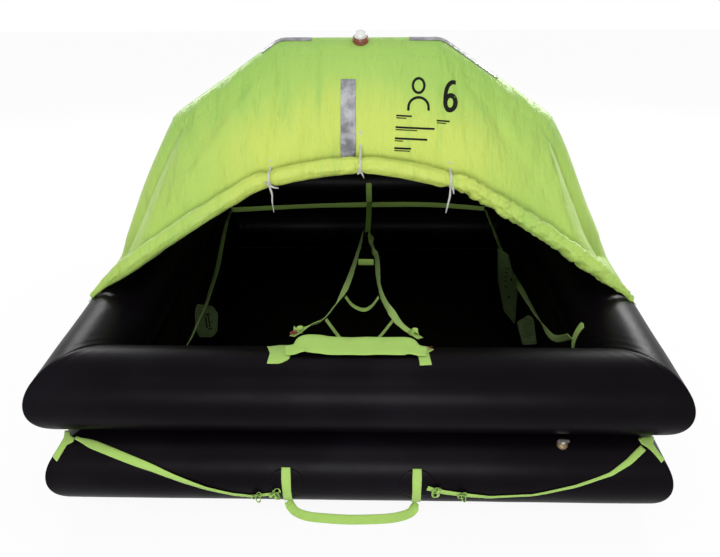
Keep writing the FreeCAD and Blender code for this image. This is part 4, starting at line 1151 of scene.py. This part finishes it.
def tubePatch(name, outline, ring, place, node=None, slotName="lime_webbing", thickness=1.6, lift=0.6, cell=6.0):
    # outline is (along, degrees): 0 straight up, 90 outward; place is front, rear, left or right
    halfWidth, halfLength, height = rings[ring]
    way = -1 if place in ("front", "left") else 1
    lengthwise = place in ("left", "right")
    arc = math.radians(1) * raft["tubeRadius"]
    spots, faces = cutOut([(a, b * arc) for a, b in outline], cell)
    axis = Vector((way * halfWidth, 0, height) if lengthwise else (0, way * halfLength, height))
    run = Vector((0, 1, 0) if lengthwise else (1, 0, 0))
    outward = Vector((way, 0, 0) if lengthwise else (0, way, 0))
    points = []
    for along, across in spots:
        turn = across / raft["tubeRadius"]
        reach = raft["tubeRadius"] + lift
        points.append(axis + run * along + outward * reach * math.sin(turn) + Vector((0, 0, reach * math.cos(turn))))
    runs = [(spots[v][0] * 0.001, spots[v][1] * 0.001) for face in faces for v in face]
    obj = piece(name, points, faces, slotName, runs)

    def away(face):
        gap = face.center * 1000 - axis
        return gap - run * gap.dot(run)

    wallOut(obj, thickness, away)
    if node:
        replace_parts(obj, node)
    return obj


def onTube(ring, x, degrees, lift):
    # a point over the front of a ring
    turn = math.radians(degrees)
    reach = raft["tubeRadius"] + lift
    return Vector((x, -(rings[ring][1] + reach * math.sin(turn)), rings[ring][2] + reach * math.cos(turn)))


def patchSet(name, node, outlines, **look):
    join(name, *[tubePatch("%s%d" % (name, k), *outline, **look) for k, outline in enumerate(outlines)], node=node)


leftTab = [(-265, -17), (-240, -13), (-233, -30), (-213, -31), (-195, -31), (-199, -26), (-190, -12), (-187, 0),
           (-201, 0), (-192, 15), (-211, 9), (-220, 9), (-219, 23), (-254, 23), (-250, 5)]
rightTab = [(182, -24), (174, -31), (201, -31), (214, -16), (228, -9), (211, 0), (218, 23), (184, 24), (181, 9),
            (174, 5)]
patchSet("boarding_tab_patches", "boarding_tabs", [(tab, "upper", "front") for tab in (leftTab, rightTab)])

grabLeft = [(-886, 17), (-871, 17), (-863, 25), (-849, 28), (-852, 34), (-868, 38), (-887, 56), (-893, 60), (-906, 54),
            (-890, 38), (-882, 28)]
grabRight = [(837, 21), (851, 18), (881, 16), (885, 19), (878, 28), (884, 35), (904, 49), (894, 53), (871, 39),
             (858, 33), (843, 28)]
patchSet("grab_line_tabs", "grab_tabs", [(tab, "lower", "front") for tab in (grabLeft, grabRight)], thickness=2.0)

stepAt = (-207, 181)
discs = [[(x + 52 * math.cos(t), 88 + 52 * math.sin(t) / 2.208) for t in [2 * math.pi * k / 40 for k in range(40)]]
         for x in stepAt]
patchSet("step_doubler_discs", "step_doublers", [(disc, "lower", "front") for disc in discs],
         slotName="black_coated_fabric", thickness=1.3, lift=0.2, cell=7)
tongues = [[(x - 13, 64), (x + 13, 64), (x + 14, 78), (x + 13, 100), (x + 14, 130), (x - 14, 130), (x - 13, 100),
            (x - 14, 78)] for x in stepAt]
patchSet("step_tab_tongues", "step_tabs", [(tongue, "lower", "front") for tongue in tongues], thickness=2.0, lift=2.0)
for x in stepAt:
    corners = [onTube("lower", x + a, d, 4.4) for a, d in ((-10, 67), (10, 67), (10, 80), (-10, 80))]
    stitchWith("lime", crossBox(corners, (0, 0, 0)))

tubePatch("ladder_anchor", [(-6, -136), (0, -138), (16, -138), (23, -135), (22, -80), (15, -78), (-6, -79)],
          "upper", "rear", node="ladder_anchor_tab", thickness=1.8)
leftEnd, rightEnd = raft["lowerHalfWidth"] - 95, raft["lowerHalfWidth"] - 202
half = 17.7
liners = []
for x, place, low, high in ((-leftEnd, "rear", -165, -118), (rightEnd, "rear", -165, -118),
                            (106 - raft["lowerHalfWidth"], "front", -150, -100), (-0.83 * 846.5, "right", -105, -55)):
    liners.append(([(x - half, low), (x, low - 2), (x + half, low), (x + half, high), (x, high + 2), (x - half, high)],
                   "upper", place))
patchSet("lifeline_tab_patches", "lifeline_tabs", liners, thickness=1.4)
print("stage: bonded patches made")


# ---- boarding band, ladder and lifelines

radius = raft["tubeRadius"]
clearHalf = raft["halfLength"] - radius
valley = raft["halfLength"] - 0.72 * radius


def overFloor(*stations):
    return [Vector((x * radius, y * clearHalf, z * radius)) for x, y, z in stations]


def alongSide(side, *stations):
    return [Vector((side * (raft["lowerHalfWidth"] - gap * radius), y * clearHalf, z * radius))
            for gap, y, z in stations]


bandLook = {"lean": 20.0, "width": 68.0, "end": 206}


def boardingBand():
    lean, width, end = math.radians(bandLook["lean"]), bandLook["width"], bandLook["end"]
    across = Vector((0, math.cos(lean), math.sin(lean)))
    seat = onTube("upper", 0, 10, 1.5)
    # aside, rise, share of the width
    table = [(-end, 0, 0.5), (-178, 2, 0.6), (-150, 9, 1), (-110, 8, 1), (-72, 2, 1), (0, 2, 1), (110, 3, 1),
             (150, 2, 1), (178, 2, 0.6), (end, 0, 0.5)]
    line = [Vector((x, seat.y, seat.z + 3.2 + rise)) + across * (width * share / 2) for x, rise, share in table]

    def widths(t):
        x = end * (2 * t - 1)
        for (a, _, sa), (b, _, sb) in zip(table, table[1:]):
            if a <= x <= b:
                return sa + (sb - sa) * ease(x, a, b)
        return 0.5

    strap("boarding_band_web", line, across, "boarding_band", width=width, thickness=3.4, widths=widths,
          ripple=3.0, seed=2.5, step=7)


boardingBand()

headLine = [Vector((0.07 * radius, valley - 5, 2.1 * radius)), Vector((0.07 * radius, valley - 8, 2.24 * radius))]
headLine += overFloor((0.079, 1.004, 2.324), (0.079, 0.910, 2.419), (0.095, 0.638, 2.672), (0.095, 0.3427, 2.913))
stretches = [
    ("ladder_head_web", headLine, (1, 0, 0), "ladder_head_strap", 1,
     {"ripple": 1.2, "twists": ((0, 0), (0.5, 10), (1, 22))}),
    ("ladder_left_web", overFloor(
        (-0.063, 0.342, 2.913), (-0.206, -0.123, 3.320), (-0.451, -0.608, 3.731), (-0.838, -0.898, 3.976),
        (-1.202, -0.988, 4.079), (-1.549, -1.047, 4.024)), (1, 0, 0), "ladder_leg_left", 2,
     {"ripple": 1.2, "width": 25, "twists": ((0, 66), (0.3, 40), (0.62, 14), (0.8, 62), (1, 20))}),
    ("ladder_right_web", overFloor(
        (0.174, 0.342, 2.913), (0.308, -0.007, 3.225), (0.427, -0.122, 3.320), (0.561, -0.606, 3.731),
        (0.933, -0.893, 3.968), (1.107, -0.990, 4.087), (1.502, -1.061, 4.040)), (1, 0, 0), "ladder_leg_right", 3,
     {"ripple": 1.2, "width": 25, "twists": ((0, -80), (0.08, -5), (0.18, 76), (0.26, 62), (0.45, 44), (0.62, 76),
                                             (0.76, 72), (0.86, 5), (1, -15))}),
    ("ladder_top_rung", overFloor((-0.134, -0.200, 3.383), (0.34, -0.200, 3.383)), (0, 0, 1), "ladder_rung_top", 4,
     {"cup": 0.6, "step": 3}),
    ("ladder_middle_rung", overFloor(
        (-0.395, -0.647, 3.715), (-0.190, -0.657, 3.478), (0.095, -0.662, 3.368), (0.316, -0.657, 3.462),
        (0.506, -0.650, 3.715)), (0, 1, 0), "ladder_rung_middle", 5, {"cup": 0.8}),
    ("ladder_bottom_rung", overFloor(
        (-0.806, -0.903, 3.960), (-0.490, -0.921, 3.542), (-0.111, -0.933, 3.115), (0.158, -0.933, 3.115),
        (0.553, -0.921, 3.542), (0.885, -0.905, 3.960)), (0, 1, 0), "ladder_rung_bottom", 6, {"cup": 0.8}),
    ("rear_lifeline_web", [
        (-leftEnd, valley - 4, 1.945 * radius), (-0.45 * leftEnd, valley, 2.103 * radius), (0, valley, 2.174 * radius),
        (0.55 * rightEnd, valley, 2.174 * radius), (rightEnd, valley - 4, 2.024 * radius)], (0, 0, 1),
     "lifeline_rear", 7, {"ripple": 0.6, "twists": ((0, 0), (0.3, 14), (0.6, -8), (1, 10))}),
    ("left_lifeline_web", alongSide(
        -1, (0.747, 1.019, 1.944), (0.889, 0.742, 2.067), (1.198, 0.231, 1.853), (1.277, 0.051, 1.853),
        (1.348, -0.177, 1.781), (1.348, -0.332, 1.806), (1.285, -0.539, 1.733), (1.126, -0.709, 2.000),
        (0.842, -1.018, 2.174)), (0.75, 0.1, 0.65), "lifeline_left", 8,
     {"ripple": 0.8, "width": 28, "twists": ((0, 0), (0.4, -10), (0.7, 12), (1, 0))}),
    ("right_lifeline_web", alongSide(
        1, (1.538, 1.025, 1.976), (1.364, 0.898, 1.621), (1.158, 0.742, 1.186), (1.126, 0.520, 1.162),
        (1.126, 0.230, 1.447), (1.126, -0.266, 1.992), (1.063, -0.532, 2.253), (1.000, -0.662, 2.514),
        (0.905, -0.815, 3.162)), (-0.6, 0.1, 0.75), "lifeline_right", 9,
     {"ripple": 0.8, "twists": ((0, 0), (0.3, 34), (0.5, 60), (0.7, 20), (0.85, -40), (1, 0))})]
for name, line, up, node, seed, look in stretches:
    strap(name, line, up, node, seed=seed, **look)

for name, spot, size, width, thickness, paint, turn, seed in (
        ("ladder_knot_left", (-1.42, -1.02, 4.10), 15, 13, 1.8, None, (0.9, 0.2, 0.3), 4),
        ("ladder_knot_right", (1.36, -1.03, 4.10), 15, 13, 1.8, None, (1.0, -0.4, -0.2), 5),
        ("ladder_red_wrap", (-1.52, -1.045, 4.115), 12, 4, 1.4, redThread, (1.1, 0.1, 0.8), 6)):
    knot(name, overFloor(spot)[0], size, width, thickness, "lime_webbing", paint, turn, seed)
for x in (-1.60, 1.55):
    spot = onTube("upper", x * radius + 14, -6, 3.0)
    box = [spot + Vector(p) for p in ((-12, 0, 0), (12, 0, 0), (12, 16, 1), (-12, 16, 1))]
    stitchWith("red", crossBox(box, (0, 0, 0.6)))


# ---- grab lines and boarding step

def outOfTube(route):
    def up(share):
        place = share * (len(route) - 1)
        i = min(int(place), len(route) - 2)
        turn = math.radians(route[i][1] + (route[i + 1][1] - route[i][1]) * (place - i))
        return Vector((0, -math.cos(turn), -math.sin(turn)))
    return up


def fineRoute(route, each=4):
    fine = []
    for a, b in zip(route, route[1:]):
        fine += [(a[0] + (b[0] - a[0]) * i / each, a[1] + (b[1] - a[1]) * i / each) for i in range(each)]
    return fine + [route[-1]]


leftRoute = fineRoute([(-846, 28), (-753, 43), (-606, 67), (-449, 97), (-369, 110), (-319, 114), (-238, 106)])
rightRoute = fineRoute([(212, 92), (262, 99), (330, 105), (400, 109), (525, 103), (647, 86), (747, 68), (800, 52),
                        (846, 34)])
for name, node, route, seed, widths in (
        ("left_grab_web", "grab_line_left", leftRoute, 10,
         lambda t: 0.42 + 0.62 * ease(t, 0.0, 0.10) - 0.50 * ease(t, 0.35, 0.8)),
        ("right_grab_web", "grab_line_right", rightRoute, 11,
         lambda t: 0.62 - 0.24 * ease(t, 0.16, 0.3) + 0.42 * ease(t, 0.72, 0.95))):
    strap(name, [onTube("lower", x, d, 3.6) for x, d in route], outOfTube(route), node, seed=seed, ripple=0.8,
          cup=1.0, widths=widths)
for name, x, d, size in (("grab_knot_left", -296, 109, 15), ("grab_knot_left_end", -240, 103, 17),
                         ("grab_knot_right", 236, 94, 16), ("grab_knot_right_end", 318, 103, 14)):
    knot(name, onTube("lower", x, d, 12), size, 14, 1.8, "lime_webbing", turn=(0.4, 0.3, 0.2 + x * 0.01), seed=x)

stepRoute = [(-1.644, 0.838, 0.364), (-1.581, 0.877, 0.237), (-1.455, 0.957, 0.134), (-1.186, 1.067, 0.107),
             (-0.791, 1.130, 0.107), (-0.142, 1.170, 0.107), (0.632, 1.130, 0.107), (1.028, 1.051, 0.107),
             (1.296, 0.941, 0.134), (1.399, 0.870, 0.237), (1.439, 0.838, 0.364)]
strap("step_web", [(x * radius, -raft["lowerHalfLength"] - y * radius, z * radius) for x, y, z in stepRoute],
      (0, 0.55, 0.83), "step_strap", seed=12, ripple=1.0, width=29)
print("stage: webbing made")


# ---- instruction cards

def card(name, corners, facing, node, holes=(), bars=()):
    # a board through the first corner, turned to facing; holes and bars are placed from its middle
    normal = Vector(facing).normalized()
    points = [p - normal * (p - corners[0]).dot(normal) for p in corners]
    right = Vector((0, 0, 1)).cross(normal).normalized() * -1
    if right.x < 0 and abs(facing[1]) > 0.5:
        right = -right
    up = Vector((0, 0, 1)) - normal * normal.z
    up = up.normalized()
    middle = sum(points, Vector()) / len(points)

    def solid(outline, low, high, label, slotName, paint=None):
        count = len(outline)
        both = [p + normal * low for p in outline] + [p + normal * high for p in outline]
        faces = [tuple(range(count))[::-1], tuple(range(count, 2 * count))]
        faces += [(i, (i + 1) % count, count + (i + 1) % count, count + i) for i in range(count)]
        obj = turnOut(piece(label, both, faces, slotName, paint=paint))
        obj.data.shade_flat()
        return obj

    rounded = []
    for i, p in enumerate(points):  # soft corners
        before, after = points[i - 1], points[(i + 1) % len(points)]
        rounded += [p + (before - p).normalized() * 6, p + (before - p).normalized() * 2 + (after - p).normalized() * 2,
                    p + (after - p).normalized() * 6]
    board = solid(rounded, 0.0, 1.5, name, "olive_card")
    prints = []
    for k, (u0, v0, u1, v1) in enumerate(bars):
        quad = [middle + right * u + up * v for u, v in ((u0, v0), (u1, v0), (u1, v1), (u0, v1))]
        prints.append(solid(quad, 1.5, 1.75, "%sMark%d" % (name, k), "olive_card", ink))
    for k, (u, v) in enumerate(holes):
        ring = [middle + right * (u + 6 * math.cos(t)) + up * (v + 6 * math.sin(t))
                for t in [math.pi * i / 8 for i in range(16)]]
        prints.append(solid(ring, 1.5, 1.8, "%sHole%d" % (name, k), "olive_card", ink))
    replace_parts(board, node)
    if prints:
        join(name + "_print", *prints)
    rim = []
    for a, b in zip(rounded, rounded[1:] + rounded[:1]):
        rim.append([middle + (a - middle) * 0.88 + normal * 1.7, middle + (b - middle) * 0.88 + normal * 1.7])
    stitchWith("black", rim)


card("left_card", alongSide(
    -1, (1.096, -0.196, 1.882), (1.545, -0.162, 1.691), (1.675, -0.158, 1.387), (1.617, -0.179, 0.797),
    (1.464, -0.196, 0.673), (1.093, -0.225, 0.785), (1.02, -0.227, 1.124), (1.02, -0.211, 1.646)),
    (0.5, -0.85, 0.15), "instruction_card_left",
    bars=((4, -38, 22, -33), (-2, -30, 4, 20), (10, -28, 15, 26), (-2, 26, 20, 31), (17, -10, 26, -6)))
card("rear_card", alongSide(
    1, (1.796, 0.228, 2.625), (1.740, 0.202, 1.486), (1.513, 0.144, 0.472), (1.180, 0.075, 0.196),
    (1.171, 0.090, 1.553), (1.368, 0.136, 2.081), (1.507, 0.169, 2.574)), (-0.8, -0.6, 0.05), "instruction_card_rear",
    holes=((18, -62), (20, 22)),
    bars=((-22, 60, 0, 64), (-22, 40, -4, 44), (-24, 20, -2, 24), (-20, 0, -4, 4), (-16, -24, 6, -20)))
card("front_card", alongSide(
    1, (1.645, -0.315, 1.741), (1.334, -0.337, 2.065), (1.192, -0.351, 1.979), (1.061, -0.376, 1.206),
    (1.437, -0.346, 1.047)), (-0.5, -0.85, 0.1), "instruction_card_front",
    bars=tuple((-22 + (i % 2) * 4, 38 - i * 9, 14 + (i * 7) % 11, 40 - i * 9) for i in range(9)))
print("stage: cards made")


# ---- valves and gas system

valveTurn = math.radians(30)
valveAxis = (0, -math.sin(valveTurn), math.cos(valveTurn))
valveX = 610
valveProfile = [(17, -2), (17, 3.4), (16.2, 4.8), (12.6, 5), (12, 5.6), (12, 8), (11.2, 8.6), (11.2, 9.6), (12, 10.2),
                (12, 13), (11.2, 14), (6.3, 14), (6.15, 13), (6.15, 4)]
lathe("front_valve_body", valveProfile, onTube("lower", valveX, 30, 0), valveAxis, "valve_brass",
      node="lower_valve_body")
lathe("rear_valve_body", valveProfile, (-valveX, raft["halfLength"] + radius, raft["upperZ"]), (0, 1, 0),
      "valve_plastic", node="upper_valve_body")

reliefProfile = [(22, -2), (22, 2.2), (21, 3), (16.4, 3), (16, 3.6), (16, 6), (15, 6.6), (15, 7.6), (16, 8.2),
                 (16, 11.6), (14.8, 13), (5, 13), (4.4, 12.2), (0.4, 12.2)]
join("relief_valve_caps", *[lathe("relief%d" % k, reliefProfile, (-480, y + radius, z), (0, 1, 0), "valve_plastic")
                            for k, (_, y, z) in enumerate(rings.values())], node="relief_valves")

bottleLook = {"radius": 51.0, "halfLength": 215.0, "neck": 14.0, "bands": (-0.6, 0.35)}
_, cylinderY, cylinderZ = [(a + b) * 500 for a, b in zip(*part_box("gas_cylinder"))]
wide, neck, halfBottle = bottleLook["radius"], bottleLook["neck"], bottleLook["halfLength"]
profile = [(28, 0), (34, 2.5)] + quarter(0, 36, wide, 30, range(-46, 0, 8)) + [(wide, 36), (wide, 40), (wide, 366)]
profile += quarter(neck, 368, wide - neck, 44, range(8, 84, 9)) + [(neck + 0.2, 418), (neck, 420), (neck, 430)]
lathe("gas_bottle", profile, (-halfBottle, cylinderY, cylinderZ), (1, 0, 0), "cylinder_paint", 64, node="gas_cylinder")
bandProfile = [(wide, -20), (52.2, -20), (53, -19), (53, -6), (52.6, 0), (53, 6), (53, 19), (52.2, 20), (wide, 20)]
join("bottle_bands", *[lathe("bottleBand%d" % k, bandProfile, (share * halfBottle, cylinderY, cylinderZ), (1, 0, 0),
                             "lime_webbing", 64) for k, share in enumerate(bottleLook["bands"])],
     node="cylinder_straps")

slotOf = {s["node"]: s["material_slot"] for s in frame["record"]["subparts"]}
for name, obj in nodes.items():
    if not obj.hide_render and obj.type == "MESH":
        obj.data.materials.clear()
        obj.data.materials.append(paints[slotOf.get(name, "valve_metal")])
print("stage: fittings made")
sewAll()
print("stage: sewn")


# ---- floor, backdrop, light and camera

lamps = {"over": ((0, -0.5, 4.2), (0, -0.3, 0.4), (2.6, 1.6), 12.0),
         "high": ((-0.6, -4.2, 4.4), (0, -0.2, 0.8), (2.4, 1.4), 24.0),
         "front": ((-0.2, -5.6, 1.1), (0, 0.2, 0.6), (2.6, 1.4), 132.0),
         "rimLeft": ((-3.0, 3.0, 2.5), (-0.8, -0.7, 0.5), (1.3, 0.9), 66.0),
         "rimRight": ((3.0, 3.0, 2.5), (0.8, -0.7, 0.5), (1.3, 0.9), 120.0)}
studioLook = {"floor": 0.86, "white": 0.93, "low": 0.22, "high": 0.85}


def studioFloor():
    mesh = bpy.data.meshes.new("studio_floor")
    mesh.from_pydata([(-9, -9, 0), (9, -9, 0), (9, 9, 0), (-9, 9, 0)], [], [(0, 1, 2, 3)])
    floor = bpy.data.objects.new("studio_floor", mesh)
    floor.location.z = -0.001
    bpy.context.collection.objects.link(floor)
    paint = Paint("floorPaint", Roughness=0.9, Specular_IOR_Level=0.1)
    paint.feed(paint.shader.inputs["Base Color"], (studioLook["floor"],) * 3)
    rays = paint.node("ShaderNodeLightPath").socket.node.outputs
    seen, glossy, through = [Wire(paint, rays["Is %s Ray" % kind]) for kind in ("Camera", "Glossy", "Transmission")]
    glow = paint.node("ShaderNodeEmission", None, {"Color": (1.0, 1.0, 1.0), "Strength": 1.0})
    mixed = paint.node("ShaderNodeMixShader", None, {0: seen * studioLook["white"] + glossy + through,
                                                     1: Wire(paint, paint.shader.outputs[0]), 2: glow})
    paint.feed(paint.tree.nodes["Material Output"].inputs["Surface"], mixed)
    mesh.materials.append(paint.material)


def studioWorld():
    # white where it is seen, in metal and glass too; a plain level that grows upward for light
    world = bpy.data.worlds.new("studio")
    bpy.context.scene.world = world
    world.use_nodes = True
    tree = world.node_tree
    tree.nodes.clear()
    kinds = ("LightPath", "Background", "Background", "MixShader", "OutputWorld", "TexCoord", "SeparateXYZ",
             "MapRange", "Math", "Math")
    path, fill, white, choose, out, spot, split, level, camera, shown = [
        tree.nodes.new("ShaderNode" + kind) for kind in kinds]
    for background in (fill, white):
        background.inputs[0].default_value = (1, 1, 1, 1)
    white.inputs[1].default_value = 1.0
    level.interpolation_type = "SMOOTHSTEP"
    for name, value in (("From Min", 0.05), ("From Max", 0.95), ("To Min", studioLook["low"]),
                        ("To Max", studioLook["high"])):
        level.inputs[name].default_value = value
    camera.operation = shown.operation = "MAXIMUM"
    for output, entry in ((spot.outputs["Generated"], split.inputs[0]), (split.outputs["Z"], level.inputs["Value"]),
                          (level.outputs[0], fill.inputs[1]), (path.outputs["Is Camera Ray"], camera.inputs[0]),
                          (path.outputs["Is Glossy Ray"], camera.inputs[1]), (camera.outputs[0], shown.inputs[0]),
                          (path.outputs["Is Transmission Ray"], shown.inputs[1]), (shown.outputs[0], choose.inputs[0]),
                          (fill.outputs[0], choose.inputs[1]), (white.outputs[0], choose.inputs[2]),
                          (choose.outputs[0], out.inputs[0])):
        tree.links.new(output, entry)


def lamp(name, spot, target, size, power):
    light = bpy.data.lights.new(name, "AREA")
    light.shape, light.size, light.size_y, light.energy = "RECTANGLE", size[0], size[1], power
    obj = bpy.data.objects.new(name, light)
    obj.location = spot
    obj.rotation_euler = (Vector(target) - Vector(spot)).to_track_quat("-Z", "Y").to_euler()
    bpy.context.collection.objects.link(obj)


def takeCamera():
    look = {"place": (0.07226, -2.90858, 1.68148), "down": 25.795, "yaw": -1.734, "roll": -0.501, "lens": 38.72}
    down, yaw, roll = [math.radians(look[k]) for k in ("down", "yaw", "roll")]
    ahead = Vector((math.sin(yaw) * math.cos(down), math.cos(yaw) * math.cos(down), -math.sin(down)))
    right = Vector((math.cos(yaw), -math.sin(yaw), 0))
    up = right.cross(ahead)
    right, up = right * math.cos(roll) + up * math.sin(roll), up * math.cos(roll) - right * math.sin(roll)
    data = bpy.data.cameras.new("camera")
    data.sensor_width, data.lens = 36.0, look["lens"]
    obj = bpy.data.objects.new("camera", data)
    turn = Matrix((right, up, -ahead)).transposed()
    obj.matrix_world = Matrix.Translation(look["place"]) @ turn.to_4x4()
    bpy.context.collection.objects.link(obj)
    bpy.context.scene.camera = obj


studioFloor()
studioWorld()
for name, settings in lamps.items():
    lamp(name, *settings)
takeCamera()
bpy.context.scene.view_settings.view_transform = "Standard"
print("stage: studio set")
